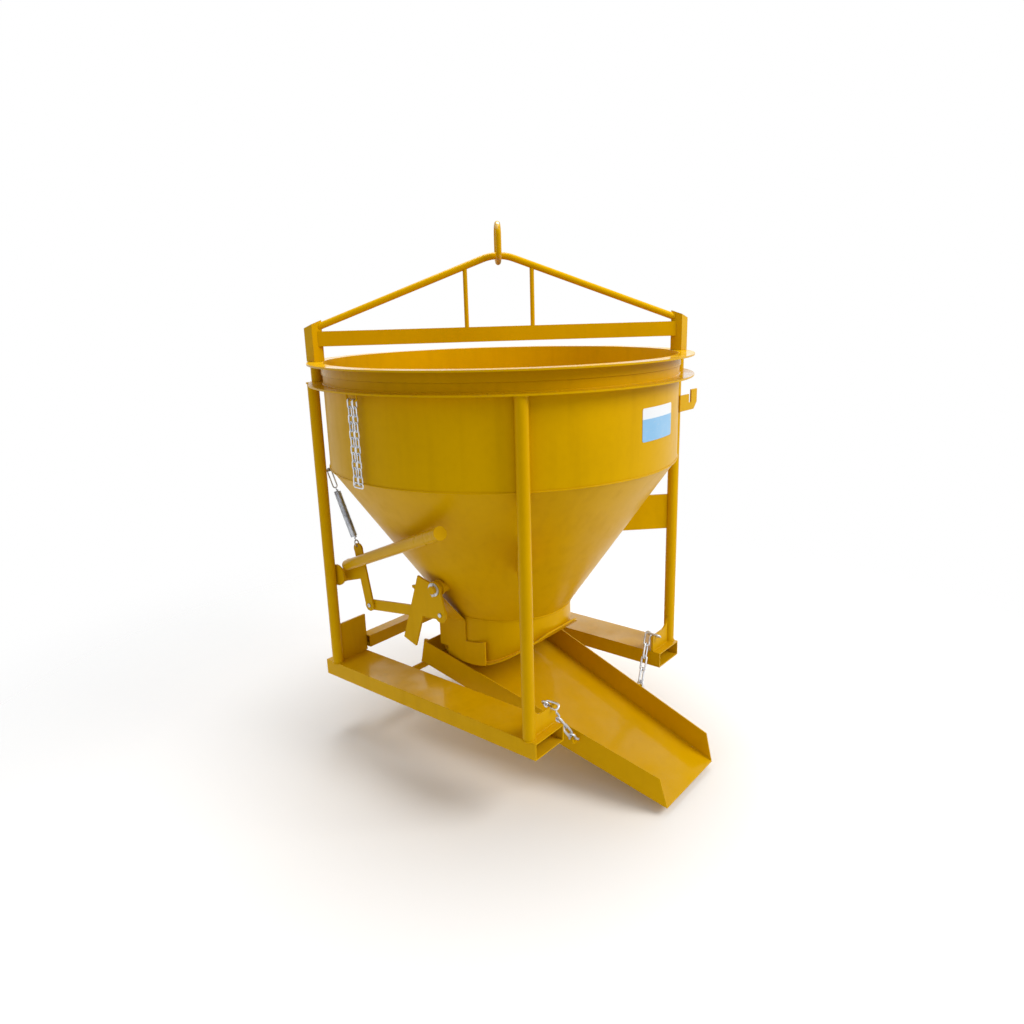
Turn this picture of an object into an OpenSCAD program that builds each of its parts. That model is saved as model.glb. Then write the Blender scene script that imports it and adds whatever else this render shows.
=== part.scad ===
// Hanging concrete bucket: a round hopper on four pipe legs with fork pockets, a bail with a
// master link, a swinging pan gate worked by a hand lever, and a hooked-on pouring chute.
// Millimetres, +Z up. The chute points to -Y and the lever is on the -X side.
// The origin is the inner crown of the master link, where the lifting hook bears.

/* [Hopper] */
// Outside diameter of the barrel
hopper_d = 1296; // [1200:1:1400]
// Sheet thickness of barrel and cone
hopper_wall = 5; // [4:0.5:8]
// Height of the straight barrel
barrel_h = 372; // [320:1:420]
// Height of the cone
cone_h = 581; // [540:1:620]
// Outside diameter of the outlet throat
outlet_d = 500; // [470:1:520]
// Sheet thickness of the throat
throat_wall = 6; // [4:0.5:8]
// Height of the cone's lower edge above the ground
outlet_z = 300; // [280:1:330]
// How far both rings stand out from the barrel
flange_w = 52; // [45:1:60]
// Thickness of both rings
flange_t = 6; // [5:0.5:8]
// Height of the rim angle's upright leg
rim_leg_h = 40; // [25:1:50]
// Thickness of the rim angle's upright leg
rim_leg_t = 4; // [3:0.5:5]
// Drop from the rim's top to the lower ring's top
ring_drop = 71; // [66:1:90]

/* [Frame] */
// Outside diameter of the leg pipes
leg_d = 42.4; // [38:0.1:46]
// Wall of the leg pipes
leg_wall = 3.6; // [2.5:0.1:5]
// Leg centre outside the barrel wall
leg_standoff = 22.4; // [22:0.1:30]
// Turn of the front legs away from the X axis
leg_turn = 44.5; // [43:0.1:46]
// How much further back the rear legs stand
rear_leg_setback = 32; // [20:1:40]
// Outside width of a fork pocket
pocket_w = 156; // [140:1:170]
// Outside height of a fork pocket
pocket_h = 61; // [58:1:64]
// Wall of a fork pocket
pocket_wall = 5; // [4:0.5:6]
// Leg centre to pocket centre
pocket_inset = 65; // [58:1:66]
// Pocket end ahead of the front legs
pocket_front = 36; // [30:1:60]
// Pocket end behind the rear legs
pocket_rear = 58; // [40:1:80]
// Side of the rear cross member
cross_side = 50; // [40:1:55]
// Wall of the rear cross member
cross_wall = 4; // [3:0.5:5]
// Cross member above the pockets
cross_lift = 15; // [5:1:30]
// Thickness of the frame's plates
plate_t = 8; // [6:0.5:10]
// Height of the rear gusset plates
rear_plate_h = 156; // [140:1:180]
// How far the rear gusset plates pass the pockets
rear_plate_over = 7; // [4:1:12]
// Height of the front foot plates
foot_plate_h = 67; // [60:1:80]
// Radius of the foot plate's curve up the leg
foot_flare = 47; // [30:1:50]
// Width of the chain slot in a foot plate
chain_slot_w = 12; // [11:0.5:14]
// Depth of the chain slot
chain_slot_h = 12; // [11:0.5:13]
// Chain slot from the pocket's inner side
chain_slot_in = 25; // [22:1:27]
// Cone gusset's lower edge above the cone's lower edge
gusset_lift = 250; // [220:1:280]
// Height of a cone gusset
gusset_h = 140; // [110:1:160]

/* [Lifting gear] */
// Distance of the lifting posts from the bucket's axis, past the barrel wall
post_standoff = 26; // [26:0.5:30]
// Turn of the bail from the X axis
bail_turn = 134.5; // [133:0.5:136]
// Side of the square lifting posts
post_side = 45; // [40:0.5:50]
// Wall of the posts
post_wall = 4; // [3:0.5:5]
// Height of a post at its middle above the rim
post_h = 131; // [120:1:140]
// Slope of the post's top
post_slope = 23.5; // [15:0.5:30]
// Height of the lifting beam
beam_h = 53; // [45:1:60]
// Width of the lifting beam
beam_w = 32; // [26:1:40]
// Wall of the lifting beam
beam_wall = 3; // [2:0.5:5]
// Gap between rim and beam
beam_lift = 52; // [40:1:60]
// Diameter of the bail bar
bail_d = 25; // [22:0.5:30]
// Slope of the bail's straight arms
bail_slope = 20.2; // [18:0.1:22]
// Bend radius of the bail's top, to the bar's middle
bail_bend = 165; // [140:1:180]
// Height of the bar's middle at the top above the rim
bail_h = 351; // [340:1:360]
// Diameter of the bail's upright struts
strut_d = 16; // [12:0.5:20]
// Strut from the bail's middle
strut_at = 121; // [100:1:150]
// Wire of the master link
link_wire = 20; // [18:0.5:24]
// Inside width of the master link
link_w = 60; // [50:1:70]
// Inside length of the master link
link_l = 110; // [100:1:130]

/* [Chute storage hooks] */
// Thickness of a hook plate
hook_t = 6; // [5:0.5:10]
// Reach of a hook past its leg's middle
hook_reach = 130; // [110:1:150]
// Height of a hook
hook_h = 78; // [70:1:90]
// Hook's lower edge above the barrel's lower edge
hook_lift = 137; // [110:1:160]
// Width of the hook's slot
hook_slot_w = 19; // [16:0.5:24]
// Leg's middle to the slot's middle
hook_slot_at = 72; // [60:1:80]
// Depth of the slot
hook_slot_h = 50; // [40:1:55]
// Cut corner of the hook's lower end
hook_corner = 26; // [15:1:30]
// Drop of the hook's inner shoulder
hook_shoulder = 16; // [8:1:24]

/* [Pan gate] */
// Lowest point of the pan below the cone's lower edge
pan_drop = 187; // [179:1:195]
// Outside radius of the curved pan
pan_r = 345; // [335:1:347]
// Thickness of pan and cheeks
pan_t = 6; // [5:0.5:8]
// Half the angle that the pan covers
pan_half_angle = 50; // [49:0.5:52]
// Running gap between throat and pan
pan_gap = 3; // [2:0.5:5]
// Side gap between throat and cheek
cheek_gap = 2; // [2:0.5:3]
// How far the round pan reaches past the throat
pan_lip = 25; // [20:1:30]
// Radial width of the curved cheek
cheek_w = 90; // [70:1:100]
// Width of the hanger plate
hanger_w = 135; // [110:1:140]
// Cheek's flat top below the gate pivot
hanger_low = 175; // [165:1:185]
// Hanger's bend below the gate pivot
hanger_high = 26; // [20:1:30]
// Thickness of the hanger's upper end
hanger_t = 8; // [6:0.5:10]
// Gap between cone and hanger at the pivot
hanger_gap = 5; // [4:0.5:10]
// Diameter of the gate pivot pins
gate_pin_d = 30; // [26:0.5:34]
// Radius of the gate's bush and boss
gate_boss_r = 29; // [26:0.5:30]
// Length of the gate bush outside the hanger
gate_bush_out = 13; // [10:0.5:18]
// Length of the gate bush inside the hanger
gate_bush_in = 3; // [2:0.5:4]
// Radius of the pad that carries a gate pin
gate_pad_r = 23; // [20:0.5:24]
// Thickness of the gate pin's washer
washer_t = 4; // [3:0.5:5]
// Radius of the gate pin's washer
washer_r = 25; // [22:0.5:28]
// Diameter of the split pins
split_pin_d = 5; // [4:0.5:6]

/* [Lever and linkage] */
// Thickness of arm, crank and link bars
bar_t = 8; // [6:0.5:10]
// Width of such a bar between its round ends, as a share of the ends' width
bar_share = 0.94; // [0.9:0.01:0.96]
// Width of the gate's operating arm
arm_w = 66; // [55:1:70]
// Top end of the arm's strip behind the gate pivot
arm_top_y = 50; // [45:1:55]
// Top end of the arm's strip above the gate pivot
arm_top_z = 25; // [15:1:26]
// Lower end of the arm's strip behind the gate pivot
arm_low_y = 142; // [130:1:150]
// Lower end of the arm's strip below the gate pivot
arm_low_z = 236; // [220:1:245]
// Drive pin ahead of the gate pivot
drive_y = 25; // [22:0.5:28]
// Drive pin below the gate pivot
drive_z = 93; // [90:0.5:96]
// Lever pivot behind the rear legs' middle
lever_back = 3; // [0:0.5:6]
// Lever pivot below the gate pivot
lever_drop = 51; // [46:1:56]
// Crank pin ahead of the lever pivot
crank_y = 144; // [140:1:150]
// Crank pin below the lever pivot
crank_z = 92; // [88:1:96]
// Crank's spring hole ahead of the lever pivot
tip_y = 97; // [92:1:102]
// Crank's spring hole above the lever pivot
tip_z = 141; // [136:1:146]
// Spring hole's middle from the crank's upper end
tip_edge = 12; // [11:0.5:13]
// Width of the crank bar
crank_w = 46; // [40:1:50]
// Where the web's lower edge meets the crank, as a share from the pin to the tip
web_low_share = 0.45; // [0.4:0.01:0.5]
// Where the web's upper edge meets the crank, as a share from the pin to the tip
web_high_share = 0.75; // [0.7:0.01:0.8]
// Width of the connecting link
rod_w = 44; // [38:1:48]
// Diameter of the linkage pins
linkage_pin_d = 16; // [14:0.5:18]
// Play at the drive pin
drive_play = 2.4; // [2.2:0.1:3]
// Diameter of the lever's pivot pin
lever_pin_d = 20; // [18:0.5:24]
// Outside diameter of the lever's hub
hub_d = 40; // [36:0.5:42]
// Outside diameter of the handle tube
handle_d = 42.4; // [38:0.1:44]
// Wall of the handle tube
handle_wall = 3.2; // [2.5:0.1:5]
// Handle's root ahead of the lever pivot
root_y = 40; // [36:1:46]
// Handle's root above the lever pivot
root_z = 56; // [54:1:62]
// Handle's free end ahead of the lever pivot
grip_y = 735; // [720:1:745]
// Handle's free end above the lever pivot
grip_z = 343; // [335:1:350]
// Handle's free end outside the lever's plane
grip_out = 188; // [180:1:200]
// Thickness of the handle's end cap
cap_t = 6; // [4:0.5:10]
// How far the end cap stands past the tube
cap_lip = 2; // [1:0.5:4]
// Radius of the lever's round bracket plate
bracket_r = 42; // [40:1:44]
// Bracket plate's middle ahead of the lever pivot
bracket_fore = 15; // [12:1:16]
// Bracket plate's middle above the lever pivot
bracket_up = 20; // [16:1:22]
// Thickness of the lever pivot's nut
nut_t = 16; // [12:1:18]

/* [Return spring] */
// Outside diameter of the coil
spring_d = 27; // [24:0.5:30]
// Spring wire
spring_wire = 4; // [3:0.25:4.25]
// Number of curls
spring_curls = 38; // [30:1:42]
// Rise of one curl
spring_pitch = 4.8; // [4.7:0.05:5]
// Length of each end's run from the coil to the middle
spring_lead = 10; // [8:0.5:12]
// Spring anchor above the lever pivot
anchor_up = 435; // [430:1:440]
// Spring anchor's middle from the leg's middle
anchor_in = 38; // [34:1:42]
// Diameter of the anchor pin
anchor_d = 10; // [8:0.5:12]
// Wire of the eye and of the upper link
eye_wire = 5; // [4:0.5:6]
// Radius of the lower eye to its wire's middle
eye_r = 12; // [11:0.5:14]
// Inside width of the upper link
hanger_link_w = 14; // [12:0.5:18]

/* [Chute] */
// Width across the chute at its mouth
chute_mouth_w = 348; // [340:1:360]
// Width across the chute at its rear end
chute_rear_w = 584; // [576:1:592]
// Length of the chute's floor along the slope
chute_l = 1074; // [1040:1:1100]
// Height of the chute's walls
chute_wall_h = 93; // [85:1:95]
// Sheet thickness of the chute
chute_t = 5; // [4:0.5:6]
// Slope of the chute
chute_slope = 16.2; // [16:0.1:18]
// How far the walls are cut back at the mouth
chute_rake = 56; // [30:1:70]
// Hanger bar behind the bucket's axis
chute_bar_y = 238; // [234:1:245]
// Height of the hanger bar's middle above the ground
chute_bar_z = 38; // [34:1:39]
// Diameter of the hanger bar
chute_bar_d = 25; // [20:0.5:30]
// Chute's rear end ahead of the hanger bar
chute_bar_gap = 23; // [22:0.5:28]
// Chute's floor above the hanger bar's middle
chute_bar_drop = 36; // [30:1:36]
// Thickness of the chute's hook ears
ear_t = 10; // [8:0.5:12]
// Radius of an ear round the bar
ear_r = 27; // [24:0.5:30]
// Height of an ear above the bar's middle
ear_h = 104; // [95:1:106]
// Ear from the chute's middle
ear_at = 240; // [220:1:250]
// Chain lug from the mouth, along the slope
lug_at = 378; // [370:1:386]
// Reach of a chain lug
lug_reach = 32; // [28:1:36]
// Height of a chain lug
lug_h = 34; // [30:1:40]
// Lug's upper edge below the wall's top
lug_drop = 8; // [4:1:12]
// Play of the shackle pin in its lug, on radius
lug_play = 0.4; // [0.3:0.1:0.6]
// Wire of the shackles
shackle_wire = 8; // [7:0.5:9]
// Inside width of a shackle
shackle_w = 16; // [14:0.5:18]
// Inside length of a shackle
shackle_l = 30; // [26:1:34]

/* [Chains] */
// Wire of the chute chains
chain_wire = 8; // [7:0.5:8.5]
// Inside width of a chute chain link
chain_w = 14; // [13:0.5:16]
// Inside length of the link held in the slot
grab_l = 46; // [42:1:50]
// Lean of the link held in the slot
grab_lean = 50; // [47:1:52]
// Links between slot and shackle
chain_links = 4; // [4:2:6]
// Turn of the tie chain's place round the bucket
tie_turn = 175.5; // [174:0.5:177]
// Tie chain's place outside the barrel wall
tie_standoff = 24; // [22:0.5:28]
// Wire of the tie chain
tie_wire = 5; // [4:0.25:5]
// Inside width of a tie chain link
tie_w = 10; // [9:0.5:12]
// Rise of one tie chain link
tie_pitch = 24.6; // [23:0.1:26]
// Links in each strand of the tie chain
tie_links = 11; // [9:2:13]
// Half the distance between the two strands
tie_half_gap = 13; // [13:0.5:15]
// Wire of the tie chain's staple
staple_wire = 6; // [5:0.5:6]
// Drop of the staple under the ring
staple_drop = 22; // [20:1:26]
// Bend radius of the staple
staple_bend = 8; // [6:0.5:10]

/* [Fits] */
// Gap at a welded curved seat
weld_gap = 0.25; // [0.1:0.05:0.3]
// Running clearance of pins, on radius
pin_play = 0.06; // [0.03:0.01:0.1]
// Gap between pieces that move past each other
side_gap = 0.5; // [0.4:0.1:1]
// Slack between chain links
link_slack = 0.8; // [0.6:0.1:1]
// Step that the straight runs of links are rounded to
length_step = 0.1; // [0.1:0.1:0.2]

/* [Hidden] */
$fn = 64;
paint = [0.80, 0.61, 0.05];
dark = [0.16, 0.15, 0.14];
zinc = [0.72, 0.73, 0.74];

hopper_r = hopper_d / 2;
outlet_r = outlet_d / 2;
barrel_z = outlet_z + cone_h;
rim_z = barrel_z + barrel_h;
ring_z = rim_z - ring_drop;
rim_r = hopper_r + flange_w;
cone_rate = (hopper_r - outlet_r) / cone_h;
cone_skin = hopper_wall * sqrt(1 + cone_rate * cone_rate);
far = 2 * rim_z;

leg_r = leg_d / 2;
leg_circle = hopper_r + leg_standoff;
leg_x = leg_circle * cos(leg_turn);
leg_front_y = -leg_circle * sin(leg_turn);
leg_rear_y = rear_leg_setback - leg_front_y;
pocket_x = leg_x - pocket_inset;
pocket_in = pocket_x - pocket_w / 2;
pocket_y0 = leg_front_y - pocket_front;
pocket_l = leg_rear_y + pocket_rear - pocket_y0;
plate_end = leg_x - leg_r - weld_gap;
rear_plate_in = pocket_in - rear_plate_over;
chain_slot_x = pocket_in + chain_slot_in;
chain_slot_z = pocket_h + foot_plate_h - chain_slot_h;

post_r = hopper_r + post_standoff;
post_z = rim_z + post_h;
beam_z = rim_z + beam_lift;
bail_z = rim_z + bail_h;
bail_mid_z = bail_z - bail_bend;
bail_end = post_r;
link_low_z = bail_z - bail_d / 2 - side_gap / 2;
eye_z = link_low_z + link_l;

gate_z = outlet_z - pan_drop + pan_r;
gate_bush_r = gate_pin_d / 2 + hanger_t;
pan_in_r = pan_r - pan_t;
pan_half_w = outlet_r + cheek_gap;
cheek_x = pan_half_w + pan_t;
cheek_half = sqrt(pow(outlet_r + pan_lip, 2) - pow(cheek_x, 2));
hanger_x = cone_r(gate_z + gate_boss_r) + hanger_gap;
arm_x = hanger_x + hanger_t + gate_bush_out;
gate_out_left = arm_x + bar_t;
gate_out_right = arm_x;
rod_x = arm_x - 2 * side_gap - bar_t;
gate_pin_tail = washer_t + 2 * split_pin_d;

lever_y = leg_rear_y + lever_back;
lever_z = gate_z - lever_drop;
crank_out = arm_x + bar_t;
bracket_x = leg_x - leg_r - weld_gap;
bracket_face = bracket_x - plate_t;
hub_l = bracket_face - side_gap - crank_out;
grip = [-crank_out - grip_out, lever_y - grip_y, lever_z + grip_z];
root_end = [-crank_out - handle_d / 4, lever_y - root_y, lever_z + root_z];

handle_way = (grip - root_end) / norm(grip - root_end);

tip = [-(arm_x + bar_t / 2), lever_y - tip_y, lever_z + tip_z];
anchor = [-(leg_x - anchor_in), leg_rear_y, lever_z + anchor_up];
spring_way = (anchor - tip) / norm(anchor - tip);
spring_r = (spring_d - spring_wire) / 2;
spring_from = eye_r * 2 + eye_wire / 2 + side_gap;
spring_coil = spring_curls * spring_pitch;
spring_l = spring_coil + 2 * (spring_lead + spring_wire);
hanger_link_l = norm(anchor - tip) - spring_from - spring_l - eye_wire + anchor_d / 2;

slope_way = [0, cos(chute_slope), sin(chute_slope)];
floor_up = [0, -sin(chute_slope), cos(chute_slope)];
chute_rear = [0, chute_bar_y - chute_bar_gap, chute_bar_z + chute_bar_drop];
chute_taper = atan((chute_rear_w - chute_mouth_w) / 2 / chute_l);
chute_inset = chute_t / cos(chute_taper);
lug_hole_out = lug_reach - lug_h / 2;
lug_hole_z = chute_wall_h - lug_drop - lug_h / 2;
lug_t = plate_t;
shackle_pin_r = shackle_wire / 2;
lug_hole_r = shackle_pin_r + lug_play;

grab_half = (chain_w + chain_wire) / 2;
tie_bar_z = ring_z - flange_t - staple_drop;

// Outside radius of the cone at a height
function cone_r(z) = outlet_r + (z - outlet_z) * cone_rate;

// A point given along a wall of the chute, in the bucket's frame
function chute_point(side, along, out, up) =
  chute_rear - chute_l * slope_way
  + along * cos(chute_taper) * slope_way
  + up * floor_up
  - out * sin(chute_taper) * slope_way
  + side * (chute_mouth_w / 2 + along * sin(chute_taper) + out * cos(chute_taper)) * [1, 0, 0];

// Length rounded to the named step
function fine(l) = round(l / length_step) * length_step;

function unit(v) = v / norm(v);

// Unit step to the left of a flat way
function across(way) = [way[1], -way[0]] / norm(way);

// Half the chute's width at a length along its floor
function chute_half(along) = chute_mouth_w / 2 + along * tan(chute_taper);

function lug_hole(side) = chute_point(side, lug_at, lug_hole_out, lug_hole_z);
function grab_point(side) = [side * (chain_slot_x - grab_half * sin(grab_lean)), leg_front_y,
  chain_slot_z + chain_wire / 2 + side_gap / 2 + grab_half * cos(grab_lean)];
function grab_end(side) = grab_point(side) + [0, (grab_l + chain_wire) / 2, 0];
function chain_way(side) = (lug_hole(side) - grab_end(side)) / norm(lug_hole(side) - grab_end(side));
function wall_out(side) = side * cos(chute_taper) * [1, 0, 0] - sin(chute_taper) * slope_way;
function wall_along(side) = side * sin(chute_taper) * [1, 0, 0] + cos(chute_taper) * slope_way;

// Turn of a lug on its wall that sets its pin square to the chain
function lug_turn(side) = atan(-(chain_way(side) * wall_along(side)) / (chain_way(side) * floor_up));
function lug_pin_way(side) = cos(lug_turn(side)) * wall_along(side) + sin(lug_turn(side)) * floor_up;
function lug_up(side) = cos(lug_turn(side)) * floor_up - sin(lug_turn(side)) * wall_along(side);
function bow_turn(side) = atan2(-chain_way(side) * wall_out(side), -chain_way(side) * lug_up(side));
function shackle_end(side) = lug_hole(side) - shackle_l * chain_way(side);

// Way across the link that leans in the slot
function grab_across(side) = [-side * sin(grab_lean), 0, cos(grab_lean)];

// Turn about a chain's way that sets a link square to what it hangs in
function square_turn(way, hung_on) = let(n = cross(way, hung_on), flat = unit([-way[1], way[0], 0]))
  atan2(n * flat, n * cross(flat, way));

// Angle brought to within a quarter turn
function within_quarter(a) = a - 180 * round(a / 180);

// Moves the ground-based drawing to the lifting point
module from_eye() translate([0, 0, -eye_z]) children();

// Turns a drawing whose X runs along the bail
module along_bail() rotate([0, 0, bail_turn]) children();

module both_sides() {
  children();
  mirror([1, 0, 0]) children();
}

// Aims a drawing's Z axis along a way
module aimed(way) rotate([0, acos(way[2] / norm(way)), atan2(way[1], way[0])]) children();

module bar_between(from, to, d) translate(from) aimed(to - from) cylinder(h = norm(to - from), d = d);

// Plate drawn in Y and Z, from x towards +X
module plate_yz(x, t) translate([x, 0, 0]) rotate([90, 0, 90]) linear_extrude(t) children();

// Plate drawn in X and Z, from y towards +Y
module plate_xz(y, t) translate([0, y + t, 0]) rotate([90, 0, 0]) linear_extrude(t) children();

// Flat strip with square ends
module flat_strip(from, to, w) {
  way = to - from;
  translate(from) rotate(atan2(way[1], way[0])) translate([0, -w / 2]) square([norm(way), w]);
}

// Flat strip with a round boss at each end
module strip(from, to, w) {
  translate(from) circle(d = w);
  translate(to) circle(d = w);
  flat_strip(from, to, bar_share * w);
}

module cross_pin(x, y, z, l, r) translate([x, y, z]) rotate([0, 90, 0]) cylinder(h = l, r = r);

// Oblong link in X and Z, its long axis along Z
module oblong_link(wire, l, w) {
  bend = (w + wire) / 2;
  run = fine(l - w);
  translate([0, 0, run / 2]) rotate([90, 0, 0])
    rotate_extrude(angle = 180) translate([bend, 0]) circle(d = wire);
  translate([0, 0, -run / 2]) rotate([-90, 0, 0])
    rotate_extrude(angle = 180) translate([bend, 0]) circle(d = wire);
  for (side = [-1, 1])
    translate([side * bend, 0, -run / 2]) cylinder(h = run, d = wire);
}

// Chain hooked over two wires of its own size, each link turned about a quarter from the last
module chain(from, to, links, wire, w, first_turn, last_turn) {
  pitch = (norm(to - from) + wire) / links;
  twist = within_quarter(last_turn - first_turn - 90 * (links - 1)) / (links - 1);
  translate(from) aimed(to - from)
    for (i = [0 : links - 1])
      translate([0, 0, (i + 1 / 2) * pitch - wire / 2])
        rotate([0, 0, first_turn + i * (90 + twist)])
          oblong_link(wire, pitch + link_slack, w);
}

module leg(x, y) color(paint) from_eye() translate([x, y, pocket_h]) difference() {
  cylinder(h = ring_z - flange_t - pocket_h, r = leg_r);
  translate([0, 0, -leg_r]) cylinder(h = ring_z, r = leg_r - leg_wall);
}

module pocket(x) color(paint) from_eye() difference() {
  translate([x - pocket_w / 2, pocket_y0, 0]) cube([pocket_w, pocket_l, pocket_h]);
  translate([x - pocket_w / 2 + pocket_wall, pocket_y0 - pocket_h, pocket_wall])
    cube([pocket_w - 2 * pocket_wall, pocket_l + 2 * pocket_h, pocket_h - 2 * pocket_wall]);
}

// Square post standing on the rim, drawn along the bail, grown by a gap
module post_block(side, grow, h) translate([side * post_r, 0, rim_z])
  rotate([0, 0, -bail_turn])
    translate([-post_side / 2 - grow, -post_side / 2 - grow, 0])
      cube([post_side + 2 * grow, post_side + 2 * grow, h]);

// Everything under a post's sloping top
module under_slope(side, drop) translate([side * post_r, 0, post_z - drop])
  rotate([0, side * post_slope, 0])
    translate([-post_h, -post_h, -2 * post_h]) cube([2 * post_h, 2 * post_h, 2 * post_h]);

// Bail bar with its bent top and two straight arms
module bail_path(d) {
  translate([0, 0, bail_mid_z]) rotate([90, 0, 0]) rotate([0, 0, 90 - bail_slope])
    rotate_extrude(angle = 2 * bail_slope) translate([bail_bend, 0]) circle(d = d);
  for (side = [-1, 1]) {
    from = [side * bail_bend * sin(bail_slope), 0, bail_mid_z + bail_bend * cos(bail_slope)];
    run = (bail_end - bail_bend * sin(bail_slope)) / cos(bail_slope);
    bar_between(from, from + run * [side * cos(bail_slope), 0, -sin(bail_slope)], d);
  }
}

// The sector that the pan and its cheeks cover, as a wedge along X
module pan_wedge(half_w) {
  reach = 2 * pan_r;
  plate_yz(-half_w, 2 * half_w) polygon([[0, gate_z],
    [-reach * sin(pan_half_angle), gate_z - reach * cos(pan_half_angle)],
    [reach * sin(pan_half_angle), gate_z - reach * cos(pan_half_angle)]]);
}

// Cheek, sloping hanger and pivot tab of one side, drawn on +X
module gate_hanger() {
  bend_z = gate_z - hanger_high;
  low_z = gate_z - hanger_low;
  difference() {
    union() {
      intersection() {
        cross_pin(pan_half_w, 0, gate_z, pan_t, pan_r);
        translate([0, -cheek_half, gate_z - 2 * pan_r]) cube([2 * cheek_x, 2 * cheek_half, 2 * pan_r]);
        difference() {
          cross_pin(pan_half_w - pan_t, 0, gate_z, 3 * pan_t, pan_r + pan_t);
          cross_pin(pan_half_w - 2 * pan_t, 0, gate_z, 5 * pan_t, pan_r - cheek_w);
        }
      }
      plate_xz(0, hanger_w) polygon([
        [pan_half_w, gate_z - pan_r + cheek_w / 2], [cheek_x, gate_z - pan_r + cheek_w / 2],
        [cheek_x, low_z], [hanger_x + hanger_t, bend_z], [hanger_x + hanger_t, bend_z + hanger_t],
        [hanger_x, bend_z + hanger_t], [hanger_x, bend_z], [pan_half_w, low_z]]);
      plate_yz(hanger_x, hanger_t) {
        translate([0, gate_z]) circle(r = gate_boss_r);
        polygon([[-gate_boss_r / 2, gate_z], [0, bend_z], [hanger_w, bend_z],
          [hanger_w, bend_z + hanger_t], [0, gate_z + gate_boss_r / 2]]);
      }
    }
    cross_pin(hanger_x - hanger_t, 0, gate_z, 3 * hanger_t, gate_bush_r + weld_gap);
  }
}

// Hook plate in X and Z, with its slot open upwards
module storage_hook() {
  low = barrel_z + hook_lift;
  polygon([[leg_x - leg_r / 2, low], [leg_x + hook_reach - hook_corner, low],
    [leg_x + hook_reach, low + hook_corner], [leg_x + hook_reach, low + hook_h],
    [leg_x + hook_slot_at + hook_slot_w / 2, low + hook_h],
    [leg_x + hook_slot_at + hook_slot_w / 2, low + hook_h - hook_slot_h],
    [leg_x + hook_slot_at - hook_slot_w / 2, low + hook_h - hook_slot_h],
    [leg_x + hook_slot_at - hook_slot_w / 2, low + hook_h - hook_shoulder],
    [leg_x - leg_r / 2, low + hook_h - hook_shoulder]]);
}

// Foot plate in X and Z, with the curve up the leg and the chain slot
module foot_plate() difference() {
  union() {
    translate([pocket_in, pocket_h]) square([plate_end - pocket_in, foot_plate_h]);
    difference() {
      translate([plate_end - foot_flare, pocket_h + foot_plate_h / 2])
        square([foot_flare, foot_plate_h / 2 + foot_flare]);
      translate([plate_end - foot_flare, pocket_h + foot_plate_h + foot_flare]) circle(r = foot_flare);
    }
  }
  translate([chain_slot_x, chain_slot_z + chain_slot_w / 2]) circle(d = chain_slot_w);
  translate([chain_slot_x - chain_slot_w / 2, chain_slot_z + chain_slot_w / 2])
    square([chain_slot_w, foot_plate_h]);
}

// Spring middle line: up the axis, out to the coil, round the curls and back to the axis
curl_rings = 8;
wire_sides = 6;
function ease(u) = u * u * (3 - 2 * u);
function lead_point(u) = [
  spring_r * ease(u) * cos(360 * u),
  spring_r * ease(u) * sin(360 * u),
  spring_wire + spring_lead * u];
function flip_end(p) = [p[0], -p[1], spring_l - p[2]];
spring_line = concat(
  [[0, 0, 0]],
  [for (i = [0 : curl_rings - 1]) lead_point(i / curl_rings)],
  [for (i = [0 : spring_curls * curl_rings])
    [spring_r * cos(360 * i / curl_rings), spring_r * sin(360 * i / curl_rings),
     spring_wire + spring_lead + spring_pitch * i / curl_rings]],
  [for (i = [curl_rings - 1 : -1 : 0]) flip_end(lead_point(i / curl_rings))],
  [[0, 0, spring_l]]);
spring_count = len(spring_line);
spring_gap = min([for (i = [0 : spring_count - curl_rings / 2 - 1])
  for (j = [i + curl_rings / 2 : min(i + 2 * curl_rings, spring_count - 1)])
    let(apart = norm(spring_line[j] - spring_line[i]))
      apart > spring_wire / 2 ? apart : far]) - spring_wire;
echo(spring_least_gap = spring_gap);

function heading(i) = i == 0 || i == spring_count - 1 ? [0, 0, 1]
  : unit(spring_line[i + 1] - spring_line[i - 1]);
function ring_turn(i) = 360 * (i - 1) / curl_rings;
function ring_in(i) = let(t = heading(i), c = [cos(ring_turn(i)), sin(ring_turn(i)), 0])
  unit(c - (c * t) * t);
function ring_point(i, k) = let(n = ring_in(i), b = cross(heading(i), n), a = 360 * k / wire_sides)
  spring_line[i] + spring_wire / 2 * (n * cos(a) + b * sin(a));

module spring_tube() polyhedron(
  points = concat(
    [for (i = [0 : spring_count - 1]) for (k = [0 : wire_sides - 1]) ring_point(i, k)],
    [spring_line[0], spring_line[spring_count - 1]]),
  faces = concat(
    [for (i = [0 : spring_count - 2]) for (k = [0 : wire_sides - 1])
      [i * wire_sides + k, (i + 1) * wire_sides + k, i * wire_sides + (k + 1) % wire_sides]],
    [for (i = [0 : spring_count - 2]) for (k = [0 : wire_sides - 1])
      [i * wire_sides + (k + 1) % wire_sides, (i + 1) * wire_sides + k,
       (i + 1) * wire_sides + (k + 1) % wire_sides]],
    [for (k = [0 : wire_sides - 1]) [spring_count * wire_sides, k, (k + 1) % wire_sides]],
    [for (k = [0 : wire_sides - 1]) [spring_count * wire_sides + 1,
      (spring_count - 1) * wire_sides + (k + 1) % wire_sides, (spring_count - 1) * wire_sides + k]]));

// Puts a drawing on the spring's axis, starting at the crank's tip
module on_spring(along, turn)
  translate(tip + along * spring_way) aimed(spring_way) rotate([0, 0, turn]) children();

// Puts a drawing on the chute's floor, Y running up the slope from the mouth
module on_chute() translate(chute_rear - chute_l * slope_way) rotate([chute_slope, 0, 0]) children();

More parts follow.
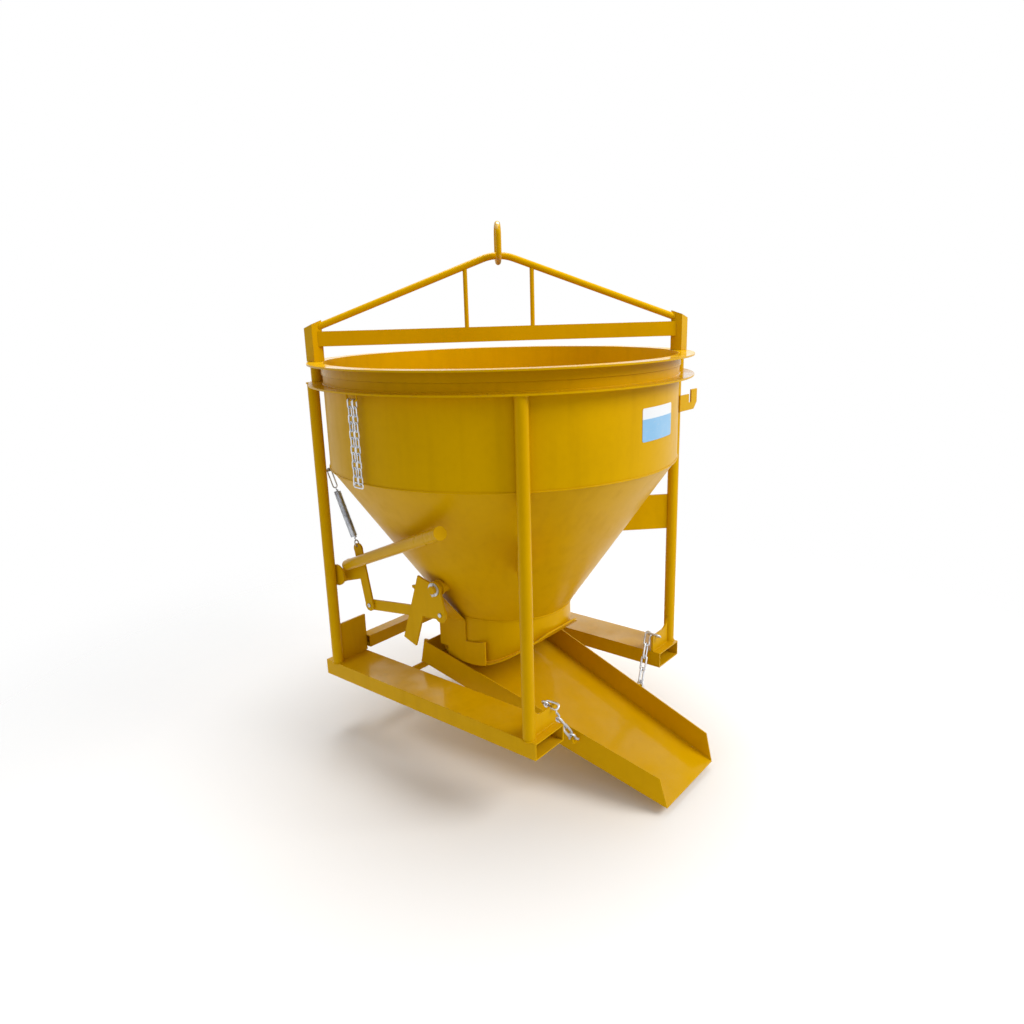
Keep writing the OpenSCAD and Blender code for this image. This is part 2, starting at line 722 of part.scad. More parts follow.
// Puts a drawing on the outside of one chute wall
module on_wall(side) on_chute()
  translate([side * chute_mouth_w / 2, 0, 0]) rotate([0, 0, -side * chute_taper]) children();

module chute_chain(side) color(zinc) from_eye() {
  translate(grab_point(side)) rotate([0, -side * grab_lean, 0]) rotate([0, 0, 90]) rotate([0, 90, 0])
    oblong_link(chain_wire, grab_l, chain_w);
  chain(grab_end(side), shackle_end(side), chain_links, chain_wire, chain_w,
    square_turn(chain_way(side), grab_across(side)), square_turn(chain_way(side), lug_pin_way(side)));
}

// Hopper
module hopper_shell() color(paint) from_eye() translate([0, 0, barrel_z]) difference() {
  cylinder(h = barrel_h, r = hopper_r);
  translate([0, 0, -barrel_h]) cylinder(h = 3 * barrel_h, r = hopper_r - hopper_wall);
}

module hopper_cone() color(paint) from_eye() rotate_extrude() polygon([
  [outlet_r - cone_skin, outlet_z], [outlet_r, outlet_z],
  [hopper_r, barrel_z], [hopper_r - cone_skin, barrel_z]]);

module outlet_throat() color(paint) from_eye() intersection() {
  translate([0, 0, gate_z - pan_r]) difference() {
    cylinder(h = pan_drop, r = outlet_r);
    translate([0, 0, -pan_r]) cylinder(h = 3 * pan_r, r = outlet_r - throat_wall);
  }
  cross_pin(-outlet_d, 0, gate_z, 2 * outlet_d, pan_in_r - pan_gap);
}

module rim_ring() color(paint) from_eye() rotate_extrude() polygon([
  [hopper_r + weld_gap, rim_z - rim_leg_h], [hopper_r + weld_gap + rim_leg_t, rim_z - rim_leg_h],
  [hopper_r + weld_gap + rim_leg_t, rim_z - flange_t], [rim_r, rim_z - flange_t],
  [rim_r, rim_z], [hopper_r + weld_gap, rim_z]]);

module stiffening_ring() color(paint) from_eye() rotate_extrude() polygon([
  [hopper_r + weld_gap, ring_z - flange_t], [rim_r, ring_z - flange_t],
  [rim_r, ring_z], [hopper_r + weld_gap, ring_z]]);

// Frame
module leg_front_left() leg(-leg_x, leg_front_y);
module leg_front_right() leg(leg_x, leg_front_y);
module leg_rear_left() leg(-leg_x, leg_rear_y);
module leg_rear_right() leg(leg_x, leg_rear_y);
module fork_pocket_left() pocket(-pocket_x);
module fork_pocket_right() pocket(pocket_x);

module rear_cross_member() color(paint) from_eye()
  translate([-rear_plate_in, leg_rear_y - cross_side / 2, pocket_h + cross_lift]) difference() {
    cube([2 * rear_plate_in, cross_side, cross_side]);
    translate([-cross_side, cross_wall, cross_wall])
      cube([2 * rear_plate_in + 2 * cross_side, cross_side - 2 * cross_wall, cross_side - 2 * cross_wall]);
  }

module rear_gusset_plates() color(paint) from_eye() both_sides()
  translate([rear_plate_in, leg_rear_y - plate_t / 2, pocket_h])
    cube([plate_end - rear_plate_in, plate_t, rear_plate_h]);

module front_foot_plates() color(paint) from_eye() both_sides()
  plate_xz(leg_front_y - plate_t / 2, plate_t) foot_plate();

module cone_gusset(x, y) {
  low = outlet_z + gusset_lift;
  reach = norm([x, y]) - leg_r - weld_gap;
  rotate([0, 0, atan2(y, x)]) plate_xz(-plate_t / 2, plate_t) polygon([
    [cone_r(low) + weld_gap, low], [reach, low], [reach, low + gusset_h],
    [cone_r(low + gusset_h) + weld_gap, low + gusset_h]]);
}

module cone_gussets() color(paint) from_eye() {
  cone_gusset(-leg_x, leg_front_y);
  cone_gusset(leg_x, leg_front_y);
  cone_gusset(leg_x, leg_rear_y);
}

// Lifting gear
module lifting_spacers() color(paint) from_eye() along_bail() for (side = [-1, 1])
  translate([side * post_r, 0, ring_z]) cylinder(h = ring_drop - flange_t, r = leg_r);

module lifting_posts() color(paint) from_eye() along_bail() for (side = [-1, 1]) difference() {
  intersection() {
    post_block(side, 0, 2 * post_h);
    under_slope(side, 0);
  }
  intersection() {
    translate([0, 0, -post_wall]) post_block(side, -post_wall, 2 * post_h);
    under_slope(side, post_wall);
  }
}

module lifting_beam() color(paint) from_eye() along_bail() difference() {
  translate([-post_r, -beam_w / 2, beam_z]) cube([2 * post_r, beam_w, beam_h]);
  translate([-2 * post_r, beam_wall - beam_w / 2, beam_z + beam_wall])
    cube([4 * post_r, beam_w - 2 * beam_wall, beam_h - 2 * beam_wall]);
  for (side = [-1, 1])
    post_block(side, 0, 2 * post_h);
}

module bail_bar() color(paint) from_eye() along_bail() difference() {
  bail_path(bail_d);
  for (side = [-1, 1])
    post_block(side, weld_gap, 2 * post_h);
}

module bail_struts() color(paint) from_eye() along_bail() difference() {
  for (side = [-1, 1])
    translate([side * strut_at, 0, beam_z + beam_h])
      cylinder(h = bail_z - beam_z - beam_h - bail_d, d = strut_d);
  bail_path(bail_d + 2 * weld_gap);
}

module master_link() color(paint) from_eye() along_bail()
  translate([0, 0, link_low_z + link_l / 2]) rotate([0, 0, 90]) oblong_link(link_wire, link_l, link_w);

module chute_storage_hooks() color(paint) from_eye() {
  plate_xz(leg_front_y - leg_r - weld_gap - hook_t, hook_t) storage_hook();
  plate_xz(leg_rear_y + leg_r + weld_gap, hook_t) storage_hook();
}

// Gate
module gate_pivot_pin(out) difference() {
  union() {
    cross_pin(outlet_r, 0, gate_z, hanger_x - gate_bush_in - side_gap - outlet_r, gate_pad_r);
    cross_pin(outlet_r, 0, gate_z, out + side_gap + gate_pin_tail - outlet_r, gate_pin_d / 2);
  }
  translate([0, 0, outlet_z]) cylinder(h = cone_h, r1 = outlet_r + weld_gap, r2 = hopper_r + weld_gap);
  translate([out + side_gap + washer_t + split_pin_d, 0, gate_z - gate_pin_d])
    cylinder(h = 2 * gate_pin_d, d = split_pin_d + 2 * weld_gap);
}

module gate_pivot_pins() color(paint) from_eye() {
  gate_pivot_pin(gate_out_right);
  mirror([1, 0, 0]) gate_pivot_pin(gate_out_left);
}

module gate_washer(out) difference() {
  cross_pin(out + side_gap, 0, gate_z, washer_t, washer_r);
  cross_pin(out, 0, gate_z, washer_t + 2 * side_gap, gate_pin_d / 2 + weld_gap);
}

module gate_pin_washers() color(zinc) from_eye() {
  gate_washer(gate_out_right);
  mirror([1, 0, 0]) gate_washer(gate_out_left);
}

module gate_split_pin(out) translate([out + side_gap + washer_t + split_pin_d, 0, gate_z - washer_r])
  cylinder(h = 2 * washer_r, d = split_pin_d);

module gate_split_pins() color(zinc) from_eye() {
  gate_split_pin(gate_out_right);
  mirror([1, 0, 0]) gate_split_pin(gate_out_left);
}

module gate_pan() color(paint) from_eye() intersection() {
  difference() {
    cross_pin(-pan_half_w, 0, gate_z, 2 * pan_half_w, pan_r);
    cross_pin(-2 * pan_half_w, 0, gate_z, 4 * pan_half_w, pan_in_r);
  }
  pan_wedge(2 * pan_half_w);
  translate([0, 0, gate_z - 2 * pan_r]) cylinder(h = 2 * pan_r, r = outlet_r + pan_lip);
}

module gate_hanger_left() color(paint) from_eye() mirror([1, 0, 0]) gate_hanger();
module gate_hanger_right() color(paint) from_eye() gate_hanger();

module gate_bushes() color(paint) from_eye() both_sides() difference() {
  cross_pin(hanger_x - gate_bush_in, 0, gate_z, gate_bush_in + hanger_t + gate_bush_out, gate_bush_r);
  cross_pin(hanger_x - hanger_t, 0, gate_z, 4 * hanger_t + gate_bush_out, gate_pin_d / 2 + pin_play);
}

module gate_operating_arm() color(paint) from_eye() translate([0, 0, gate_z]) {
  drive = [-drive_y, -drive_z];
  top = [arm_top_y, arm_top_z];
  low = [arm_low_y, -arm_low_z];
  arm_side = arm_w / 2 * across(low - top);
  boss_side = bar_share * gate_boss_r * across(drive);
  plate_yz(-arm_x - bar_t, bar_t) difference() {
    union() {
      circle(r = gate_boss_r);
      translate(drive) circle(r = gate_boss_r);
      polygon([boss_side, drive + boss_side, drive - [0, gate_boss_r / 2],
        (top + low) / 2 + arm_side, low + arm_side, low - arm_side, top - arm_side]);
    }
    circle(r = gate_pin_d / 2 + pin_play);
    translate(drive) circle(r = linkage_pin_d / 2 + weld_gap);
  }
}

// Headed linkage pin through arm or crank and the connecting link beside it
module linkage_pin(y, z)
  cross_pin(-crank_out - washer_t, y, z, crank_out - rod_x + 2 * washer_t, linkage_pin_d / 2);

module gate_drive_pin() color(zinc) from_eye() linkage_pin(-drive_y, gate_z - drive_z);

// Linkage and lever
module connecting_link() color(paint) from_eye() plate_yz(-rod_x - bar_t, bar_t) difference() {
  strip([lever_y - crank_y, lever_z - crank_z], [-drive_y, gate_z - drive_z], rod_w);
  translate([lever_y - crank_y, lever_z - crank_z]) circle(r = linkage_pin_d / 2 + pin_play);
  translate([-drive_y, gate_z - drive_z]) circle(r = linkage_pin_d / 2 + drive_play);
}

module lever_bracket() color(paint) from_eye() difference() {
  cross_pin(-bracket_x, lever_y - bracket_fore, lever_z + bracket_up, plate_t, bracket_r);
  cross_pin(-bracket_x - plate_t, lever_y, lever_z, 3 * plate_t, lever_pin_d / 2 + weld_gap);
}

module lever_pivot_pin() color(zinc) from_eye()
  cross_pin(-bracket_x, lever_y, lever_z, bracket_x - arm_x + side_gap + nut_t + cap_t, lever_pin_d / 2);

module lever_pivot_nut() color(zinc) from_eye() difference() {
  translate([-arm_x + side_gap, lever_y, lever_z]) rotate([0, 90, 0]) cylinder(h = nut_t, d = hub_d, $fn = 6);
  cross_pin(-arm_x, lever_y, lever_z, 3 * nut_t, lever_pin_d / 2 + weld_gap);
}

module lever_hub() color(paint) from_eye() difference() {
  cross_pin(-crank_out - hub_l, lever_y, lever_z, hub_l, hub_d / 2);
  cross_pin(-crank_out - 2 * hub_l, lever_y, lever_z, 4 * hub_l, lever_pin_d / 2 + pin_play);
}

module crank_bar() color(paint) from_eye() translate([0, lever_y, lever_z]) {
  pin = [-crank_y, -crank_z];
  top = [-tip_y, tip_z];
  root = [-root_y, root_z];
  way = top - pin;
  top_end = top - (crank_w / 2 - tip_edge) * way / norm(way);
  half_w = bar_share * crank_w / 2;
  side = half_w * across(way);
  web_low = pin + web_low_share * way + side;
  difference() {
    union() {
      plate_yz(-crank_out, bar_t) polygon([pin - side, top_end - side, top_end + side,
        pin + web_high_share * way + side, root + half_w * across(root), half_w * across(root),
        -half_w * across(web_low), web_low, pin + side]);
      for (boss = [pin, top_end, root, [0, 0]])
        cross_pin(-crank_out, boss[0], boss[1], bar_t, crank_w / 2);
    }
    cross_pin(-crank_out - bar_t, 0, 0, 3 * bar_t, lever_pin_d / 2 + pin_play);
    cross_pin(-crank_out - bar_t, pin[0], pin[1], 3 * bar_t, linkage_pin_d / 2 + weld_gap);
    cross_pin(-crank_out - bar_t, top[0], top[1], 3 * bar_t, eye_wire + side_gap);
  }
}

module crank_pin() color(zinc) from_eye() linkage_pin(lever_y - crank_y, lever_z - crank_z);

module handle_tube() color(paint) from_eye() difference() {
  bar_between(root_end, grip, handle_d);
  bar_between(root_end - handle_d * handle_way, grip + handle_d * handle_way, handle_d - 2 * handle_wall);
  translate([-crank_out - weld_gap, lever_y - grip_y, lever_z]) cube([handle_d, grip_y, grip_y]);
}

module handle_cap() color(paint) from_eye()
  bar_between(grip, grip + cap_t * handle_way, handle_d + 2 * cap_lip);

// Return spring
module spring_anchor() color(zinc) from_eye() {
  cross_pin(-(leg_x - leg_r - weld_gap), anchor[1], anchor[2], leg_r + weld_gap + eye_wire, anchor_d / 2);
}

module spring_link() color(zinc) from_eye()
  on_spring(norm(anchor - tip) + anchor_d / 2 + side_gap / 2 - hanger_link_l / 2, 0)
    oblong_link(eye_wire, hanger_link_l, hanger_link_w);

module return_spring() color(dark) from_eye() on_spring(spring_from, 0) spring_tube();

module spring_eye() color(zinc) from_eye() on_spring(eye_r, 90) rotate([90, 0, 0])
  rotate_extrude() translate([eye_r, 0]) circle(d = eye_wire);

// Chute
module chute_hanger_bar() color(paint) from_eye()
  cross_pin(-pocket_in, chute_bar_y, chute_bar_z, 2 * pocket_in, chute_bar_d / 2);

module chute_plan(inset, front, rear) polygon([
  [-chute_half(front) + inset, front], [chute_half(front) - inset, front],
  [chute_half(rear) - inset, rear], [-chute_half(rear) + inset, rear]]);

// Plan of one side plate, as thick as the floor
module chute_side_plan(side) polygon([
  [side * chute_half(0), 0], [side * chute_half(chute_l), chute_l],
  [side * (chute_half(chute_l) - chute_inset), chute_l], [side * (chute_half(0) - chute_inset), 0]]);

// Plate standing on the floor plate, over its welding gap
module on_chute_floor() translate([0, 0, chute_t + weld_gap])
  linear_extrude(chute_wall_h - chute_t - weld_gap) children();

// Floor, two sides and a back, cut from plate and welded along the corners
module chute_tray() color(paint) from_eye() on_chute() difference() {
  union() {
    linear_extrude(chute_t) chute_plan(0, 0, chute_l);
    on_chute_floor() chute_side_plan(-1);
    on_chute_floor() chute_side_plan(1);
    on_chute_floor() chute_plan(chute_inset + weld_gap, chute_l - chute_t, chute_l);
  }
  plate_yz(-chute_rear_w, 2 * chute_rear_w) polygon([[0, 0], [2 * chute_rake, 2 * chute_wall_h],
    [-chute_rake, 2 * chute_wall_h], [-chute_rake, 0]]);
}

module chute_hook_ears() color(paint) from_eye() both_sides() difference() {
  union() {
    cross_pin(ear_at - ear_t / 2, chute_bar_y, chute_bar_z, ear_t, ear_r);
    plate_yz(ear_at - ear_t / 2, ear_t) polygon([
      [chute_bar_y - ear_r, chute_bar_z], [chute_bar_y + ear_r, chute_bar_z],
      [chute_bar_y - chute_bar_gap + ear_r, chute_bar_z + ear_h],
      [chute_bar_y - chute_bar_gap - ear_r, chute_bar_z + ear_h],
      [chute_bar_y - chute_bar_gap - ear_r, chute_bar_z + chute_bar_drop]]);
  }
  cross_pin(ear_at - ear_t, chute_bar_y, chute_bar_z, 2 * ear_t, chute_bar_d / 2 + pin_play);
  plate_yz(ear_at - ear_t, 2 * ear_t)
    translate([chute_bar_y - chute_bar_d / 2 - pin_play, chute_bar_z - 2 * ear_r])
      square([chute_bar_d + 2 * pin_play, 2 * ear_r]);
  on_chute() translate([0, -chute_l, -chute_l]) cube([chute_rear_w, 2 * chute_l, 3 * chute_l]);
}

module on_lug(side) on_wall(side) translate([0, lug_at, lug_hole_z])
  rotate([lug_turn(side), 0, 0]) children();

module chute_chain_lugs() color(paint) from_eye() for (side = [-1, 1]) on_lug(side) difference() {
  union() {
    translate([side > 0 ? 0 : -lug_hole_out, -lug_t / 2, -lug_h / 2]) cube([lug_hole_out, lug_t, lug_h]);
    translate([side * lug_hole_out, lug_t / 2, 0]) rotate([90, 0, 0]) cylinder(h = lug_t, r = lug_h / 2);
  }
  translate([side * lug_hole_out, lug_t, 0]) rotate([90, 0, 0]) cylinder(h = 2 * lug_t, r = lug_hole_r);
  translate([side > 0 ? -lug_h : 0, -lug_t, -lug_h]) cube([lug_h, 2 * lug_t, 2 * lug_h]);
}

// Bow shackle whose bow points up the chain, its pin square through the lug
module chute_shackles() color(zinc) from_eye() for (side = [-1, 1])
  on_lug(side) translate([side * lug_hole_out, 0, 0]) rotate([0, side * bow_turn(side), 0]) {
    bend = (shackle_w + shackle_wire) / 2;
    run = shackle_l - shackle_w / 2 - shackle_pin_r;
    translate([0, 0, run]) rotate([0, 0, 90]) rotate([90, 0, 0])
      rotate_extrude(angle = 180) translate([bend, 0]) circle(d = shackle_wire);
    for (end = [-1, 1])
      translate([0, end * bend, 0]) cylinder(h = run, d = shackle_wire);
    translate([0, bend + shackle_wire, 0]) rotate([90, 0, 0])
      cylinder(h = 2 * bend + 2 * shackle_wire, r = shackle_pin_r);
  }

module chute_chain_left() chute_chain(-1);
module chute_chain_right() chute_chain(1);

// Tie chain
module at_tie() rotate([0, 0, tie_turn]) translate([hopper_r + tie_standoff, 0, 0]) children();

module chain_staple() color(paint) from_eye() at_tie() {
  half = 2 * tie_half_gap;
  for (side = [-1, 1]) {
    translate([0, side * half, tie_bar_z + staple_bend])
      cylinder(h = staple_drop - staple_bend, d = staple_wire);
    translate([0, side * (half - staple_bend), tie_bar_z + staple_bend])
      rotate([0, 0, side * 90]) rotate([-90, 0, 0])
        rotate_extrude(angle = 90) translate([staple_bend, 0]) circle(d = staple_wire);
  }
  translate([0, half - staple_bend, tie_bar_z]) rotate([90, 0, 0])
    cylinder(h = 2 * (half - staple_bend), d = staple_wire);
}

module tie_chain() color(zinc) from_eye() at_tie() for (side = [-1, 1])
  for (i = [0 : tie_links - 1])
    translate([0, side * tie_half_gap, tie_bar_z + staple_wire / 2 - (i + 1 / 2) * tie_pitch])
      rotate([0, 0, i * 90]) oblong_link(tie_wire, tie_pitch + link_slack, tie_w);

module tie_chain_link() color(zinc) from_eye() at_tie()
  translate([0, 0, tie_bar_z + staple_wire / 2 - tie_links * tie_pitch - tie_w / 2])
    rotate([0, 0, 90]) rotate([0, 90, 0]) oblong_link(tie_wire, 2 * tie_half_gap + 2 * tie_w, tie_w);

hopper_shell();
hopper_cone();
outlet_throat();
rim_ring();
stiffening_ring();
leg_front_left();
leg_front_right();
leg_rear_left();
leg_rear_right();
fork_pocket_left();
fork_pocket_right();
rear_cross_member();
rear_gusset_plates();
front_foot_plates();
cone_gussets();
lifting_spacers();
lifting_posts();
lifting_beam();
bail_bar();
bail_struts();
master_link();
chute_storage_hooks();
gate_pivot_pins();
gate_pin_washers();
gate_split_pins();
gate_pan();
gate_hanger_left();
gate_hanger_right();
gate_bushes();
gate_operating_arm();
gate_drive_pin();
connecting_link();
lever_bracket();
lever_pivot_pin();
lever_pivot_nut();
lever_hub();
crank_bar();
crank_pin();
handle_tube();
handle_cap();
spring_anchor();
spring_link();
return_spring();
spring_eye();
chute_hanger_bar();
chute_tray();
chute_hook_ears();
chute_chain_lugs();
chute_shackles();
chute_chain_left();
chute_chain_right();
chain_staple();
tie_chain();
tie_chain_link();
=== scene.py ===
# A lifted concrete bucket: a rolled steel hopper on a pipe-leg frame with fork pockets,
# a bail above, a lever-worked pan gate below, and a hooked-on pouring chute held by chains.
import bmesh
import bpy
import math
import random
from mathutils import Matrix, Vector


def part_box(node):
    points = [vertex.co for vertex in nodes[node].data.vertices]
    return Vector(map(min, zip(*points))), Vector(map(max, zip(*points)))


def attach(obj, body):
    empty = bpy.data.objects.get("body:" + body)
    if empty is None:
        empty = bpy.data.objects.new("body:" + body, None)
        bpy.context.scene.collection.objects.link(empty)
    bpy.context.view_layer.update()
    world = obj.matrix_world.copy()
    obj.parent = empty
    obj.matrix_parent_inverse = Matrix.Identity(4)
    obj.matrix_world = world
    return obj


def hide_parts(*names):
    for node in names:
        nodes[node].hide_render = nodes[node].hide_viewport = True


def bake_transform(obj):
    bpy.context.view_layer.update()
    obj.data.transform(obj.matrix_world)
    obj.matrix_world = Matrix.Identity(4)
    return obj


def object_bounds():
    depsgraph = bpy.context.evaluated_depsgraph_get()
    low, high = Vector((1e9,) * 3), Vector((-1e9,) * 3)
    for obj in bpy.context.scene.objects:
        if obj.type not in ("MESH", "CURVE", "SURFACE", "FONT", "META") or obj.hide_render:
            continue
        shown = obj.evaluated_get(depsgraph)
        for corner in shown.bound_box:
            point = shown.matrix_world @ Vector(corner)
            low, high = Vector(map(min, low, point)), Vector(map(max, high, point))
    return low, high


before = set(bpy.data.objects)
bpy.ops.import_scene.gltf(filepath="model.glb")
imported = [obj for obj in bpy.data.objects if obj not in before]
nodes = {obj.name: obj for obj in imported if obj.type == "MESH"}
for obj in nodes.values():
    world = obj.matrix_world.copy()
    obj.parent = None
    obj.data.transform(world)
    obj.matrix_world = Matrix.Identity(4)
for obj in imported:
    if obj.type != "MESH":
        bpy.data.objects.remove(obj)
cad_box = [list(corner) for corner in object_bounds()]

# Camera: stands off the lever corner at about the height of the bail, looks a little down,
# and is turned slightly about its own line of sight, as the photograph is.
camera_place = Vector((-2.21615, -1.84746, -0.28673))
camera_turn = math.radians(-50.6864)
camera_pitch = math.radians(14.8096)
camera_roll = math.radians(-1.5654)
camera = bpy.data.objects.new("photo_camera", bpy.data.cameras.new("photo_camera"))
bpy.context.scene.collection.objects.link(camera)
camera.data.sensor_width = 36.0
camera.data.lens = 26.868
camera.data.clip_start = 0.05
back = Vector((math.sin(camera_turn) * math.cos(camera_pitch),
               -math.cos(camera_turn) * math.cos(camera_pitch), math.sin(camera_pitch)))
level_right = (-back).cross(Vector((0, 0, 1))).normalized()
level_down = (-back).cross(level_right)
right = math.cos(camera_roll) * level_right - math.sin(camera_roll) * level_down
down = math.sin(camera_roll) * level_right + math.cos(camera_roll) * level_down
camera_axes = Matrix((right, -down, back)).transposed().to_4x4()
camera.matrix_world = Matrix.Translation(camera_place) @ camera_axes
bpy.context.scene.camera = camera
bpy.context.scene.view_settings.view_transform = "Standard"


# Studio: a pale round floor that fades into an even white surround, a broad soft key from the
# right of the camera, a weak fill from the left and a broad soft lamp overhead.
def shader_node(tree, kind, inputs=None, **settings):
    """One shader node with its settings, its plain input values and its links."""
    node = tree.nodes.new(kind)
    for name, value in settings.items():
        setattr(node, name, value)
    for name, value in (inputs or {}).items():
        if isinstance(value, bpy.types.NodeSocket):
            tree.links.new(value, node.inputs[name])
        else:
            node.inputs[name].default_value = value
    return node


def soft_lamp(name, place, aim, size, power, colour):
    """A round soft box aimed at a point."""
    lamp = bpy.data.objects.new(name, bpy.data.lights.new(name, "AREA"))
    lamp.data.shape = "DISK"
    lamp.data.size = size
    lamp.data.energy = power
    lamp.data.color = colour
    lamp.location = place
    lamp.rotation_euler = (Vector(aim) - Vector(place)).to_track_quat("-Z", "Y").to_euler()
    bpy.context.scene.collection.objects.link(lamp)


middle = (0.0, 0.0, -1.0)
soft_lamp("key_lamp", place=(1.2, -4.0, 1.9), aim=middle, size=2.6, power=152, colour=(1.0, 0.98, 0.95))
soft_lamp("fill_lamp", place=(-4.6, 0.6, 0.9), aim=middle, size=3.0, power=12, colour=(0.95, 0.98, 1.0))
soft_lamp("top_lamp", place=(0.4, 0.6, 3.4), aim=middle, size=3.2, power=165, colour=(1.0, 1.0, 1.0))

surround_light = 0.52
surround_seen = 1.0
surround = bpy.data.worlds.new("white_surround")
bpy.context.scene.world = surround
surround.use_nodes = True
tree = surround.node_tree
rays = tree.nodes.new("ShaderNodeLightPath").outputs
seen = shader_node(tree, "ShaderNodeMath", {0: rays["Is Camera Ray"], 1: rays["Is Glossy Ray"]},
                   operation="MAXIMUM")
seen = shader_node(tree, "ShaderNodeMath", {0: seen.outputs[0], 1: rays["Is Transmission Ray"]},
                   operation="MAXIMUM")
level = shader_node(tree, "ShaderNodeMapRange", {"Value": seen.outputs[0], "To Min": surround_light,
                                                 "To Max": surround_seen})
tree.links.new(level.outputs[0], tree.nodes["Background"].inputs["Strength"])
tree.nodes["Background"].inputs["Color"].default_value = (1, 1, 1, 1)

floor_gap = 0.03
floor_reach = 5.0
fade_start = 1.0
fade_end = 3.0
bm = bmesh.new()
bmesh.ops.create_circle(bm, cap_ends=True, radius=floor_reach, segments=96,
                        matrix=Matrix.Translation((0, 0, cad_box[0][2] - floor_gap)))
floor_mesh = bpy.data.meshes.new("studio_floor")
bm.to_mesh(floor_mesh)
bm.free()
floor = bpy.data.objects.new("studio_floor", floor_mesh)
bpy.context.scene.collection.objects.link(floor)
pale_floor = bpy.data.materials.new("pale_floor")
pale_floor.use_nodes = True
tree = pale_floor.node_tree
place = tree.nodes.new("ShaderNodeTexCoord")
flat = shader_node(tree, "ShaderNodeVectorMath", {0: place.outputs["Object"], 1: (1, 1, 0)},
                   operation="MULTIPLY")
spread = shader_node(tree, "ShaderNodeVectorMath", {0: flat.outputs[0]}, operation="LENGTH")
fade = shader_node(tree, "ShaderNodeMapRange", {"Value": spread.outputs["Value"], "From Min": fade_start,
                                                "From Max": fade_end, "To Min": 1.0, "To Max": 0.0},
                   interpolation_type="SMOOTHSTEP")
shade = tree.nodes["Principled BSDF"]
shade.inputs["Base Color"].default_value = (0.94, 0.94, 0.94, 1)
shade.inputs["Roughness"].default_value = 0.7
shade.inputs["Specular IOR Level"].default_value = 0.0
tree.links.new(fade.outputs[0], shade.inputs["Alpha"])
floor.data.materials.append(pale_floor)


# Hopper: 5 mm steel sheet rolled into a barrel, a rolled cone and a short round throat,
# seam-welded on the outside and sprayed with yellow machine paint.
def shader_group(name, inputs, outputs):
    """A shared shader effect with named sockets, and the sockets to build it between."""
    group = bpy.data.node_groups.new(name, "ShaderNodeTree")
    for socket, kind, value in inputs:
        group.interface.new_socket(socket, in_out="INPUT", socket_type=kind).default_value = value
    for socket, kind in outputs:
        group.interface.new_socket(socket, in_out="OUTPUT", socket_type=kind)
    return group, group.nodes.new("NodeGroupInput").outputs, group.nodes.new("NodeGroupOutput").inputs


def mapped(tree, value, low, high, top=1.0):
    """A value stretched from low..high to 0..top."""
    return shader_node(tree, "ShaderNodeMapRange", {"Value": value, "From Min": low, "From Max": high,
                                                    "To Max": top}).outputs[0]


def worked(tree, operation, first, second, third=0.0):
    """One sum of two or three values, kept within 0..1 where it adds."""
    return shader_node(tree, "ShaderNodeMath", {0: first, 1: second, 2: third}, operation=operation,
                       use_clamp=operation == "ADD").outputs[0]


def mixed(tree, share, first, second):
    """Two colours mixed by a share."""
    return shader_node(tree, "ShaderNodeMix", {0: share, 6: first, 7: second}, data_type="RGBA").outputs[2]


def noise(tree, place, scale, detail, rough=0.5):
    """Cloudy noise from 0 to 1."""
    return shader_node(tree, "ShaderNodeTexNoise", {"Vector": place, "Scale": scale, "Detail": detail,
                                                    "Roughness": rough}).outputs["Fac"]


def stretched(tree, place, scale):
    """Coordinates with a scale of their own on each axis."""
    return shader_node(tree, "ShaderNodeMapping", {"Vector": place, "Scale": scale}).outputs[0]


def upward_share(tree, low, high):
    """How far a face looks up, from 0 at the low slope to 1 at the high one."""
    normal = tree.nodes.new("ShaderNodeNewGeometry").outputs["Normal"]
    return mapped(tree, shader_node(tree, "ShaderNodeSeparateXYZ", {0: normal}).outputs["Z"], low, high)


# Sprayed paint: tone in patches and thin runs, orange peel over slightly wavy sheet.
sprayed_paint, given, out = shader_group("sprayed_paint", [
    ("Fresh", "NodeSocketColor", (0.66, 0.37, 0.0, 1)), ("Weathered", "NodeSocketColor", (0.55, 0.3, 0.0, 1)),
    ("Runs", "NodeSocketFloat", 0.3), ("Gloss Roughness", "NodeSocketFloat", 0.34)],
    [("Color", "NodeSocketColor"), ("Roughness", "NodeSocketFloat"), ("Height", "NodeSocketFloat")])
tree = sprayed_paint
place = tree.nodes.new("ShaderNodeTexCoord").outputs["Object"]
tall = stretched(tree, place, scale=(26.0, 26.0, 1.6))
patches = mapped(tree, noise(tree, place, scale=2.6, detail=5.0, rough=0.6), low=0.38, high=0.72, top=0.5)
specks = mapped(tree, noise(tree, place, scale=42.0, detail=4.0), low=0.45, high=0.78, top=0.16)
streaks = mapped(tree, noise(tree, tall, scale=1.0, detail=3.0), low=0.5, high=0.76)
runs = worked(tree, "MULTIPLY", streaks, given["Runs"])
age = worked(tree, "ADD", worked(tree, "ADD", patches, specks), runs)
age_dulling = 0.2
tree.links.new(mixed(tree, age, given["Fresh"], given["Weathered"]), out["Color"])
tree.links.new(worked(tree, "MULTIPLY_ADD", age, age_dulling, given["Gloss Roughness"]), out["Roughness"])
peel_height = 0.35
wave_height = 4.0
peel = worked(tree, "MULTIPLY", noise(tree, place, scale=260.0, detail=2.0), peel_height)
waves = noise(tree, place, scale=6.0, detail=1.0)
tree.links.new(worked(tree, "MULTIPLY_ADD", waves, wave_height, peel), out["Height"])

